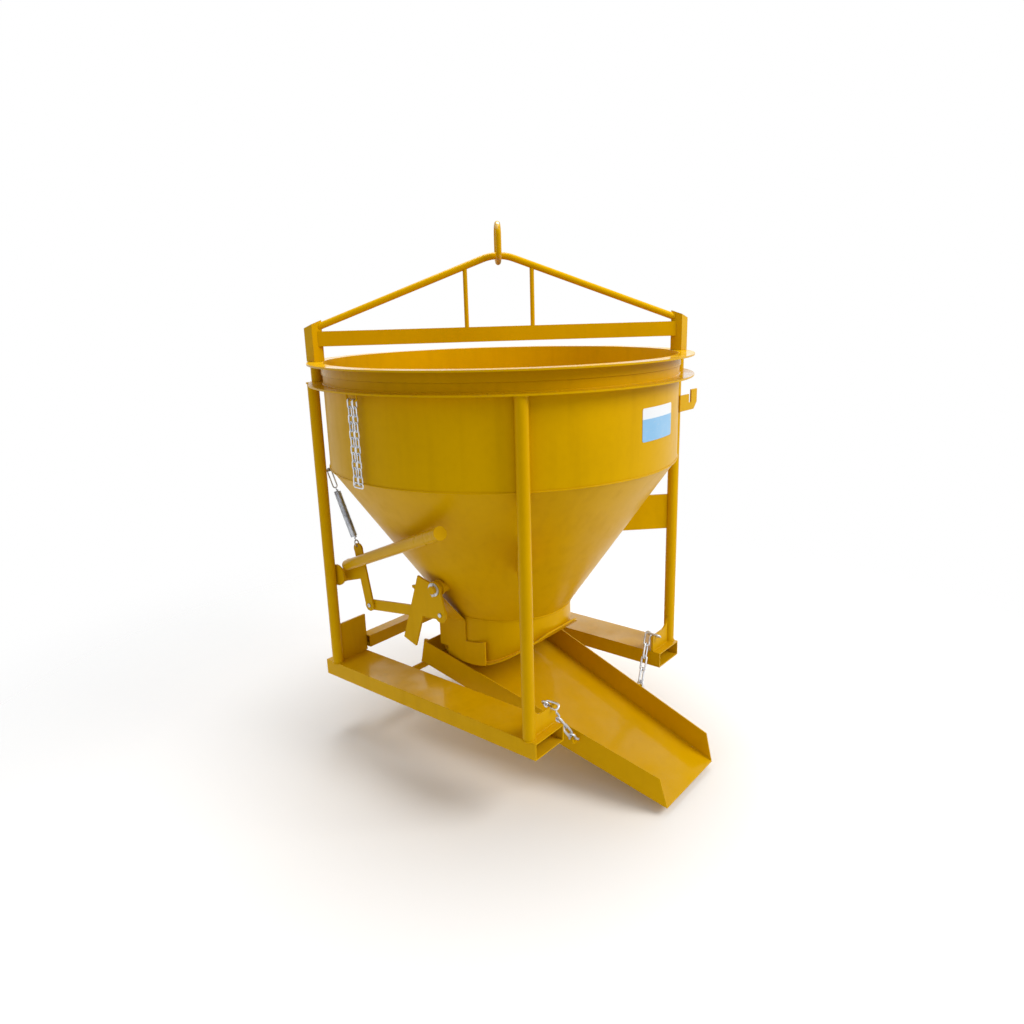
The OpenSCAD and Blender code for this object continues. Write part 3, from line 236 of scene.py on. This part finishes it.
# Rubbed edges: corners that are slightly round and chipped through to primer and steel.
rubbed_edges, given, out = shader_group("rubbed_edges", [
    ("Width", "NodeSocketFloat", 0.004), ("Amount", "NodeSocketFloat", 0.5)],
    [("Mask", "NodeSocketFloat"), ("Normal", "NodeSocketVector")])
tree = rubbed_edges
corner_radius = 0.0012
place = tree.nodes.new("ShaderNodeTexCoord").outputs["Object"]
true_normal = tree.nodes.new("ShaderNodeNewGeometry").outputs["Normal"]
wide = shader_node(tree, "ShaderNodeBevel", {"Radius": given["Width"]}, samples=4).outputs[0]
turned = shader_node(tree, "ShaderNodeVectorMath", {0: wide, 1: true_normal},
                     operation="DOT_PRODUCT").outputs["Value"]
edge = mapped(tree, turned, low=0.98, high=0.8)
chips = mapped(tree, noise(tree, place, scale=55.0, detail=6.0, rough=0.65), low=0.52, high=0.62)
chipped = worked(tree, "MULTIPLY", edge, chips)
tree.links.new(worked(tree, "MULTIPLY", chipped, given["Amount"]), out["Mask"])
rounded = shader_node(tree, "ShaderNodeBevel", {"Radius": corner_radius}, samples=4).outputs[0]
tree.links.new(rounded, out["Normal"])

# Site dust: cement dust that settles in patches on faces that look up.
site_dust, given, out = shader_group("site_dust", [("Amount", "NodeSocketFloat", 0.3)],
                                     [("Mask", "NodeSocketFloat")])
tree = site_dust
place = tree.nodes.new("ShaderNodeTexCoord").outputs["Object"]
upward = upward_share(tree, low=0.3, high=0.95)
drifts = mapped(tree, noise(tree, place, scale=7.0, detail=6.0, rough=0.62), low=0.4, high=0.75)
grains = mapped(tree, noise(tree, place, scale=160.0, detail=3.0), low=0.3, high=0.7)
settled = worked(tree, "MULTIPLY", worked(tree, "MULTIPLY", upward, drifts), grains)
tree.links.new(worked(tree, "MULTIPLY", settled, given["Amount"]), out["Mask"])

# Sky gloss: faces that look up keep a wet-looking shine, in broad patches.
sky_gloss, given, out = shader_group("sky_gloss", [("Amount", "NodeSocketFloat", 0.5)],
                                     [("Weight", "NodeSocketFloat")])
tree = sky_gloss
place = tree.nodes.new("ShaderNodeTexCoord").outputs["Object"]
upward = upward_share(tree, low=0.6, high=0.95)
shine = mapped(tree, noise(tree, place, scale=4.5, detail=3.0), low=0.36, high=0.62)
lit = worked(tree, "MULTIPLY", upward, shine)
tree.links.new(worked(tree, "MULTIPLY", lit, given["Amount"]), out["Weight"])


def with_group(tree, group, **values):
    """A shared effect in a material's tree, with its plain input values."""
    node = shader_node(tree, "ShaderNodeGroup", node_tree=group)
    for socket, value in values.items():
        node.inputs[socket.replace("_", " ")].default_value = value
    return node.outputs


def painted(name, runs, gloss, dust, rub, shine=0.6):
    """Yellow machine paint on steel, with its own runs, gloss, dust, rubbed edges and shine."""
    dust_colour = (0.6, 0.42, 0.12, 1)
    chip_colour = (0.3, 0.17, 0.05, 1)
    dust_dulling = 0.4
    material = bpy.data.materials.new(name)
    material.use_nodes = True
    tree = material.node_tree
    spray = with_group(tree, sprayed_paint, Runs=runs, Gloss_Roughness=gloss)
    edges = with_group(tree, rubbed_edges, Amount=rub)
    dusty = with_group(tree, site_dust, Amount=dust)
    colour = mixed(tree, dusty["Mask"], spray["Color"], dust_colour)
    colour = mixed(tree, edges["Mask"], colour, chip_colour)
    dulled = worked(tree, "MULTIPLY_ADD", dusty["Mask"], dust_dulling, spray["Roughness"])
    relief = shader_node(tree, "ShaderNodeBump", {"Height": spray["Height"], "Normal": edges["Normal"],
                                                  "Strength": 0.5, "Distance": 0.00035})
    glossy = with_group(tree, sky_gloss, Amount=shine)
    shade = tree.nodes["Principled BSDF"]
    tree.links.new(colour, shade.inputs["Base Color"])
    tree.links.new(dulled, shade.inputs["Roughness"])
    tree.links.new(relief.outputs[0], shade.inputs["Normal"])
    tree.links.new(glossy["Weight"], shade.inputs["Coat Weight"])
    shade.inputs["Coat Roughness"].default_value = 0.12
    shade.inputs["IOR"].default_value = 1.2
    shade.inputs["Specular Tint"].default_value = (1.0, 0.62, 0.06, 1)
    return material


same_point = 0.00002
sharp_corner = math.radians(28)


def smooth_finish(mesh, material):
    """One material over a mesh, shaded smooth."""
    mesh.materials.clear()
    mesh.materials.append(material)
    mesh.polygons.foreach_set("use_smooth", [True] * len(mesh.polygons))


def dress(material, *names):
    """Gives CAD pieces a finish, with round faces shaded smooth and corners kept sharp."""
    for name in names:
        piece = nodes[name]
        smooth_finish(piece.data, material)
        piece.modifiers.new("joined_faces", "WELD").merge_threshold = same_point
        piece.modifiers.new("kept_corners", "EDGE_SPLIT").split_angle = sharp_corner


def new_piece(name, mesh, material):
    """A finished mesh as a piece of the scene."""
    smooth_finish(mesh, material)
    piece = bpy.data.objects.new(name, mesh)
    bpy.context.scene.collection.objects.link(piece)
    return piece


def round_rods(name, lines, diameter, fineness, closed, material):
    """Capped round rods along lines of places, each place with the rod's swelling there."""
    curve = bpy.data.curves.new(name, "CURVE")
    curve.dimensions = "3D"
    curve.bevel_depth = diameter / 2
    curve.bevel_resolution = fineness
    curve.use_fill_caps = True
    for line in lines:
        run = curve.splines.new("POLY")
        run.points.add(len(line) - 1)
        run.use_cyclic_u = closed
        for point, (place, swelling) in zip(run.points, line):
            point.co = (*place, 1)
            point.radius = swelling
    raw = bpy.data.objects.new(name, curve)
    bpy.context.scene.collection.objects.link(raw)
    bpy.context.view_layer.update()
    mesh = bpy.data.meshes.new_from_object(raw.evaluated_get(bpy.context.evaluated_depsgraph_get()))
    bpy.data.objects.remove(raw)
    mesh.name = name
    return new_piece(name, mesh, material)


def weld_bead(name, lines, width, material, body, closed=False):
    """Runs of weld metal along lines of points, swelling and thinning with each ripple."""
    ripple_share = 0.55
    swells = (0.86, 1.0, 0.95)
    unevenness = 0.12
    rng = random.Random(name)
    beads = []
    for line in lines:
        steps = []
        for start, end in zip(line, line[1:]):
            count = max(2, round((Vector(end) - Vector(start)).length / (width * ripple_share)))
            steps += [Vector(start).lerp(Vector(end), i / count) for i in range(count)]
        if not closed:
            steps.append(Vector(line[-1]))
        beads.append([(step, swells[i % len(swells)] * rng.uniform(1 - unevenness, 1 + unevenness))
                      for i, step in enumerate(steps)])
    bead = round_rods(name, beads, width, fineness=2, closed=closed, material=material)
    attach(bead, body)


def hoop(radius, z, count=180, centre=(0.0, 0.0)):
    """Points round a level circle."""
    turns = [2 * math.pi * i / count for i in range(count + 1)]
    return [(centre[0] + radius * math.cos(turn), centre[1] + radius * math.sin(turn), z) for turn in turns]


hopper_paint = painted("hopper_paint", runs=0.35, gloss=0.3, dust=0.08, rub=0.35)
dress(hopper_paint, "hopper_shell", "hopper_cone", "outlet_throat")
hopper_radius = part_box("hopper_shell")[1].x
barrel_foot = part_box("hopper_shell")[0].z
rim_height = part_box("hopper_shell")[1].z
cone_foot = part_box("hopper_cone")[0].z
throat_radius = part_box("outlet_throat")[1].x
barrel_bead_out = 0.0004
throat_bead_out = 0.0008
weld_bead("barrel_to_cone_weld", [hoop(hopper_radius + barrel_bead_out, barrel_foot)], width=0.0065,
          material=hopper_paint, body="bucket", closed=True)
weld_bead("cone_to_throat_weld", [hoop(throat_radius + throat_bead_out, cone_foot)], width=0.006,
          material=hopper_paint, body="bucket", closed=True)
seam_turn = math.radians(62)
seam_below_rim = 0.09
seam_x, seam_y = math.cos(seam_turn), math.sin(seam_turn)
barrel_seam = [(hopper_radius * seam_x, hopper_radius * seam_y, z)
               for z in (barrel_foot, rim_height - seam_below_rim)]
cone_seam = [(radius * seam_x, -radius * seam_y, z)
             for radius, z in ((hopper_radius, barrel_foot), (throat_radius, cone_foot))]
weld_bead("rolled_sheet_seams", [barrel_seam, cone_seam], width=0.006, material=hopper_paint, body="bucket")

# Rim: a rolled angle round the top edge and a flat ring below it, both welded to the barrel,
# which keep the mouth round when the bucket is knocked or tipped.
rim_paint = painted("rim_paint", runs=0.1, gloss=0.22, dust=0.08, rub=0.7, shine=1.0)
dress(rim_paint, "rim_ring", "stiffening_ring")
ring_under, ring_top = (corner.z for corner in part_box("stiffening_ring"))
ring_bead_out = 0.0012
ring_bead_off = 0.0006
weld_bead("ring_welds", [hoop(hopper_radius + ring_bead_out, z)
                         for z in (ring_top + ring_bead_off, ring_under - ring_bead_off)],
          width=0.0055, material=rim_paint, body="bucket", closed=True)

# Legs: four lengths of steel pipe welded between the fork pockets and the underside of the flat
# ring, with triangular plates from three of them to the cone.
frame_paint = painted("frame_paint", runs=0.25, gloss=0.32, dust=0.1, rub=0.6)
leg_names = ("leg_front_left", "leg_front_right", "leg_rear_left", "leg_rear_right")
dress(frame_paint, *leg_names, "cone_gussets")
leg_bead_off = 0.0008
leg_rings = []
for name in leg_names:
    low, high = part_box(name)
    centre = ((low.x + high.x) / 2, (low.y + high.y) / 2)
    bead_radius = (high.x - low.x) / 2 + leg_bead_off
    leg_rings += [hoop(bead_radius, z, count=48, centre=centre)
                  for z in (low.z + leg_bead_off, high.z - leg_bead_off)]
weld_bead("leg_welds", leg_rings, width=0.006, material=frame_paint, body="bucket", closed=True)

# Base: two box sections that take a forklift's tines, tied at the back by a square tube welded
# between upright corner plates. Foot plates at the front legs hold the chute's chains.
base_paint = painted("base_paint", runs=0.3, gloss=0.3, dust=0.15, rub=0.9, shine=1.0)
dress(base_paint, "fork_pocket_left", "fork_pocket_right", "rear_cross_member", "rear_gusset_plates",
      "front_foot_plates")
pocket_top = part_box("fork_pocket_left")[1].z
foot_low, foot_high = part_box("front_foot_plates")
foot_bead_off = 0.0005
foot_bead_short = 0.002
inner_edges = (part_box("fork_pocket_left")[1].x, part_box("fork_pocket_right")[0].x)
outer_edges = (-(foot_high.x - foot_bead_short), foot_high.x - foot_bead_short)
foot_runs = [[(x, foot_low.y - foot_bead_off, pocket_top + foot_bead_off) for x in ends]
             for ends in zip(inner_edges, outer_edges)]
weld_bead("foot_plate_welds", foot_runs, width=0.0055, material=base_paint, body="bucket")

# Lifting frame: a post on each side of the mouth, a deep beam across between them, and a bent
# bail bar above it on two short struts, all of them welded.
lifting_paint = painted("lifting_paint", runs=0.15, gloss=0.18, dust=0.08, rub=0.6, shine=0.8)
dress(lifting_paint, "lifting_spacers", "lifting_posts", "lifting_beam", "bail_bar", "bail_struts")

# Master link: a forged oblong ring that hangs on the bail's crown, painted with the bucket and
# rubbed to bright steel at its crown and where it bears on the bail.
link_paint = painted("master_link_paint", runs=0.05, gloss=0.3, dust=0.05, rub=0.3)
bright_steel = (0.42, 0.41, 0.39, 1)
steel_metallic = 0.9
rub_starts = 0.034
rub_full = 0.01
link_low, link_high = (corner.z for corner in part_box("master_link"))
tree = link_paint.node_tree
shade = tree.nodes["Principled BSDF"]
place = tree.nodes.new("ShaderNodeTexCoord").outputs["Object"]
height = shader_node(tree, "ShaderNodeSeparateXYZ", {0: place}).outputs["Z"]
crown = mapped(tree, height, low=link_high - rub_starts, high=link_high - rub_full)
foot = mapped(tree, height, low=link_low + rub_starts, high=link_low + rub_full)
scuffs = mapped(tree, noise(tree, place, scale=70.0, detail=5.0, rough=0.6), low=0.44, high=0.58)
bright = worked(tree, "MULTIPLY", worked(tree, "ADD", crown, foot), scuffs)
paint_colour = shade.inputs["Base Color"].links[0].from_socket
tree.links.new(mixed(tree, bright, paint_colour, bright_steel), shade.inputs["Base Color"])
tree.links.new(worked(tree, "MULTIPLY", bright, steel_metallic), shade.inputs["Metallic"])
dress(link_paint, "master_link")

# Storage hooks: slotted steel plates welded to the right-hand legs, on which the chute hangs
# while it is not in use.
dress(frame_paint, "chute_storage_hooks")

# Gate pins: turned steel pins welded to the cone, each with a washer and a split pin outside
# the swinging hanger, the washers and split pins zinc plated.
zinc_spangle, given, out = shader_group("zinc_spangle", [
    ("Light", "NodeSocketColor", (0.66, 0.67, 0.68, 1)), ("Dull", "NodeSocketColor", (0.36, 0.37, 0.38, 1)),
    ("Grain", "NodeSocketFloat", 170.0)],
    [("Color", "NodeSocketColor"), ("Roughness", "NodeSocketFloat"), ("Height", "NodeSocketFloat")])
tree = zinc_spangle
spangle_depth = 0.3
bright_roughness = 0.3
stain_dulling = 0.26
place = tree.nodes.new("ShaderNodeTexCoord").outputs["Object"]
cells = shader_node(tree, "ShaderNodeTexVoronoi", {"Vector": place, "Scale": given["Grain"]}).outputs["Color"]
cells = shader_node(tree, "ShaderNodeSeparateColor", {0: cells}).outputs[0]
stains = mapped(tree, noise(tree, place, scale=34.0, detail=5.0, rough=0.6), low=0.42, high=0.7, top=0.7)
dulled = worked(tree, "ADD", worked(tree, "MULTIPLY", cells, spangle_depth), stains)
tree.links.new(mixed(tree, dulled, given["Light"], given["Dull"]), out["Color"])
tree.links.new(worked(tree, "MULTIPLY_ADD", dulled, stain_dulling, bright_roughness), out["Roughness"])
tree.links.new(noise(tree, place, scale=420.0, detail=3.0), out["Height"])


def zinced(name, light=(0.66, 0.67, 0.68, 1), dull=(0.36, 0.37, 0.38, 1), grain=170.0):
    """Zinc-coated steel with its spangle, dulled in patches."""
    material = bpy.data.materials.new(name)
    material.use_nodes = True
    tree = material.node_tree
    coat = with_group(tree, zinc_spangle, Light=light, Dull=dull, Grain=grain)
    edges = with_group(tree, rubbed_edges)
    relief = shader_node(tree, "ShaderNodeBump", {"Height": coat["Height"], "Normal": edges["Normal"],
                                                  "Strength": 0.3, "Distance": 0.0002})
    shade = tree.nodes["Principled BSDF"]
    tree.links.new(coat["Color"], shade.inputs["Base Color"])
    tree.links.new(coat["Roughness"], shade.inputs["Roughness"])
    tree.links.new(relief.outputs[0], shade.inputs["Normal"])
    shade.inputs["Metallic"].default_value = 0.9
    return material


pin_zinc = zinced("pin_zinc")
dress(frame_paint, "gate_pivot_pins")
dress(pin_zinc, "gate_pin_washers", "gate_split_pins")

# Pan gate: a curved plate that closes the throat from below, hung by a sloping hanger and a
# bush on each side, with an operating arm on the lever side.
gate_paint = painted("gate_paint", runs=0.4, gloss=0.38, dust=0.25, rub=0.9)
dress(gate_paint, "gate_pan", "gate_hanger_left", "gate_hanger_right", "gate_bushes", "gate_operating_arm")

# Gate linkage: a flat link from the gate's arm to a crank on the lever's hub, pinned at both
# ends. The hub turns on a bolt through a round plate welded to the rear leg.
lever_paint = painted("lever_paint", runs=0.15, gloss=0.3, dust=0.1, rub=0.9)
dress(lever_paint, "connecting_link", "lever_bracket", "lever_hub", "crank_bar")
dress(pin_zinc, "gate_drive_pin", "crank_pin", "lever_pivot_pin", "lever_pivot_nut")

# Pull handle: a length of steel pipe welded to the crank, with a flat cap on its end, painted
# like the rest and a little glossier from use.
handle_paint = painted("handle_paint", runs=0.05, gloss=0.24, dust=0.05, rub=0.6)
dress(handle_paint, "handle_tube", "handle_cap")

# Return spring: a close-wound coil of plated spring wire between the crank's tip and a pin on
# the leg. It shuts the gate, and stretches as the handle is pulled.
spring_zinc = zinced("spring_fitting_zinc", dull=(0.28, 0.29, 0.3, 1))
dress(spring_zinc, "spring_anchor", "spring_link", "spring_eye")
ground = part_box("fork_pocket_left")[0].z
spring_tip = Vector((-0.4081, 0.40789, ground + 0.548))
spring_top = Vector((-0.44016, 0.50189, ground + 0.842))
spring_way = (spring_top - spring_tip).normalized()
spring_from = 0.027
spring_wire = 0.004
spring_radius = 0.0115
spring_curls = 38
spring_pitch = 0.0048
spring_lead = 0.010
spring_length = spring_curls * spring_pitch + 2 * (spring_lead + spring_wire)
steps_per_curl = 20


def spring_point(turns, reach, z):
    """A point of the spring at a number of turns, a distance from its axis and a height."""
    return Vector((reach * math.cos(2 * math.pi * turns), reach * math.sin(2 * math.pi * turns), z))


# The wire leaves the axis, eases out to the coil, winds up it and eases back to the axis.
lead_line = []
for i in range(steps_per_curl):
    u = i / steps_per_curl
    lead_line.append(spring_point(u, spring_radius * u * u * (3 - 2 * u), spring_wire + spring_lead * u))
coil_line = [spring_point(i / steps_per_curl, spring_radius,
                          spring_wire + spring_lead + spring_pitch * i / steps_per_curl)
             for i in range(spring_curls * steps_per_curl + 1)]
tail_line = [Vector((p.x, -p.y, spring_length - p.z)) for p in reversed(lead_line)]
spring_line = [Vector((0, 0, 0))] + lead_line + coil_line + tail_line + [Vector((0, 0, spring_length))]
spring_foot = spring_tip + spring_from * spring_way
spring_turn = Matrix.Rotation(math.atan2(spring_way.y, spring_way.x), 4, "Z")
spring_lean = Matrix.Rotation(math.acos(spring_way.z), 4, "Y")
on_spring = Matrix.Translation(spring_foot) @ spring_turn @ spring_lean
spring_steel = zinced("plated_spring_wire", light=(0.6, 0.65, 0.73, 1), dull=(0.2, 0.22, 0.26, 1),
                      grain=300.0)
coil = round_rods("return_spring_coil", [[(on_spring @ step, 1.0) for step in spring_line]], spring_wire,
                  fineness=3, closed=False, material=spring_steel)
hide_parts("return_spring")
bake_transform(coil)

# Chute: a tapering tray of floor, side and back plates, welded along the corners, hooked by
# two ears over a bar between the pockets and worn by the concrete that slides down it.
chute_paint = painted("chute_paint", runs=0.1, gloss=0.3, dust=0.15, rub=0.9, shine=0.45)
dress(chute_paint, "chute_tray", "chute_hook_ears")
dress(base_paint, "chute_hanger_bar")
chute_rear = Vector((0, 0.215, ground + 0.074))
chute_slope = math.radians(16.2)
chute_length = 1.074
chute_plate = 0.005
mouth_half = 0.348 / 2
rear_half = 0.584 / 2
up_slope = Vector((0, math.cos(chute_slope), math.sin(chute_slope)))
off_floor = Vector((0, -math.sin(chute_slope), math.cos(chute_slope)))
chute_mouth = chute_rear - chute_length * up_slope
corner_bead_off = 0.0008
bead_rise = off_floor * (chute_plate + corner_bead_off)
mouth_bead_short = 0.012
rear_bead_short = 0.008
mouth_bead_in = 0.0004
rear_bead_in = 0.0024
corner_runs = []
for side in (-1, 1):
    mouth_corner = Vector((side * (mouth_half - chute_plate - mouth_bead_in), 0, 0))
    rear_corner = Vector((side * (rear_half - chute_plate - rear_bead_in), 0, 0))
    corner_runs.append([chute_mouth + mouth_bead_short * up_slope + bead_rise + mouth_corner,
                        chute_rear - rear_bead_short * up_slope + bead_rise + rear_corner])
weld_bead("chute_corner_welds", corner_runs, width=0.005, material=chute_paint, body="chute")

# Chute chains: a lug on each side plate carries a shackle, and a short chain runs from it up to
# a slot in the foot plate, where one link is caught to hold the chute at its slope.
chain_zinc = zinced("chain_zinc", light=(0.78, 0.81, 0.86, 1), dull=(0.44, 0.47, 0.52, 1), grain=140.0)
dress(chute_paint, "chute_chain_lugs")
dress(chain_zinc, "chute_shackles")
for side, name in ((-1, "chute_chain_left"), (1, "chute_chain_right")):
    bm = bmesh.new()
    bm.from_mesh(nodes[name].data)
    bmesh.ops.remove_doubles(bm, verts=bm.verts, dist=same_point)
    mesh = bpy.data.meshes.new(name + "_links")
    bm.to_mesh(mesh)
    bm.free()
    links = new_piece(name + "_links", mesh, chain_zinc)
    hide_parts(name)
    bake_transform(links)

# Tie chain: a loop of light galvanised chain on a staple under the flat ring, with an end link
# that goes over the handle so that the gate stays shut on the road.
dress(frame_paint, "chain_staple")
dress(chain_zinc, "tie_chain", "tie_chain_link")

# Plate: a blank pale sheet-metal plate, pale blue under a white band, bent to the barrel and
# stuck on near the front.
plate_start = math.radians(-97)
plate_end = math.radians(-79)
plate_low, plate_high = -0.709, -0.600
plate_sheet = 0.0008
plate_corner = 0.008
corner_steps = 5
plate_gap = 0.0002
plate_strips = 24
plate_width = (plate_end - plate_start) * hopper_radius
plate_cuts = [plate_width * i / plate_strips for i in range(1, plate_strips)]
arc_left, arc_right = plate_corner, plate_width - plate_corner
arc_low, arc_high = plate_low + plate_corner, plate_high - plate_corner


def corner_arc(quarter, x, z):
    """A rounded corner of the flat plate about its middle, from a number of quarter turns on."""
    turns = [math.pi / 2 * (quarter + i / corner_steps) for i in range(corner_steps + 1)]
    return [(x + plate_corner * math.cos(turn), z + plate_corner * math.sin(turn)) for turn in turns]


outline = (corner_arc(2, arc_left, arc_low) + [(x, plate_low) for x in plate_cuts]
           + corner_arc(3, arc_right, arc_low) + corner_arc(0, arc_right, arc_high)
           + [(x, plate_high) for x in reversed(plate_cuts)] + corner_arc(1, arc_left, arc_high))
count = len(outline)
lower = range(corner_steps + 1, corner_steps + plate_strips)
side = [[i, i + 1, count - 2 - i, count - 1 - i] for i in lower[:-1]]
side.append([*range(count - 1 - lower[0], count), *range(lower[0] + 1)])
side.append([*range(lower[-1], count - lower[-1])])
faces = [face[::-1] for face in side] + [[i + count for i in face] for face in side]
faces += [[i, (i + 1) % count, (i + 1) % count + count, i + count] for i in range(count)]
places = []
for reach in (hopper_radius + plate_gap, hopper_radius + plate_gap + plate_sheet):
    for x, z in outline:
        turn = plate_start + x / hopper_radius
        places.append((reach * math.cos(turn), reach * math.sin(turn), z))
mesh = bpy.data.meshes.new("blank_plate")
mesh.from_pydata(places, [], faces)
blank_finish = bpy.data.materials.new("pale_blue_plate")
blank_finish.use_nodes = True
tree = blank_finish.node_tree
band_low = plate_high - 0.036
band_high = plate_high - 0.034
band_ragged = 0.002
print_blue, faded_blue = (0.22, 0.48, 0.75, 1), (0.34, 0.56, 0.78, 1)
band_white, worn_grey = (0.8, 0.83, 0.86, 1), (0.62, 0.66, 0.68, 1)
sheet_roughness = 0.32
scratch_dulling = 0.4
place = tree.nodes.new("ShaderNodeTexCoord").outputs["Object"]
height = shader_node(tree, "ShaderNodeSeparateXYZ", {0: place}).outputs["Z"]
ragged = worked(tree, "MULTIPLY_ADD", noise(tree, place, scale=90.0, detail=3.0), band_ragged, height)
band = mapped(tree, ragged, low=band_low, high=band_high)
faded = mapped(tree, noise(tree, place, scale=16.0, detail=5.0, rough=0.6), low=0.35, high=0.75, top=0.5)
colour = mixed(tree, band, mixed(tree, faded, print_blue, faded_blue), band_white)
long_way = stretched(tree, place, scale=(40.0, 40.0, 260.0))
scratches = mapped(tree, noise(tree, long_way, scale=1.0, detail=4.0), low=0.6, high=0.72, top=0.35)
dulled = worked(tree, "MULTIPLY_ADD", scratches, scratch_dulling, sheet_roughness)
shade = tree.nodes["Principled BSDF"]
tree.links.new(mixed(tree, scratches, colour, worn_grey), shade.inputs["Base Color"])
tree.links.new(dulled, shade.inputs["Roughness"])
mesh.materials.append(blank_finish)
blank_plate = bpy.data.objects.new("blank_plate", mesh)
bpy.context.scene.collection.objects.link(blank_plate)
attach(blank_plate, "bucket")

bpy.context.view_layer.update()
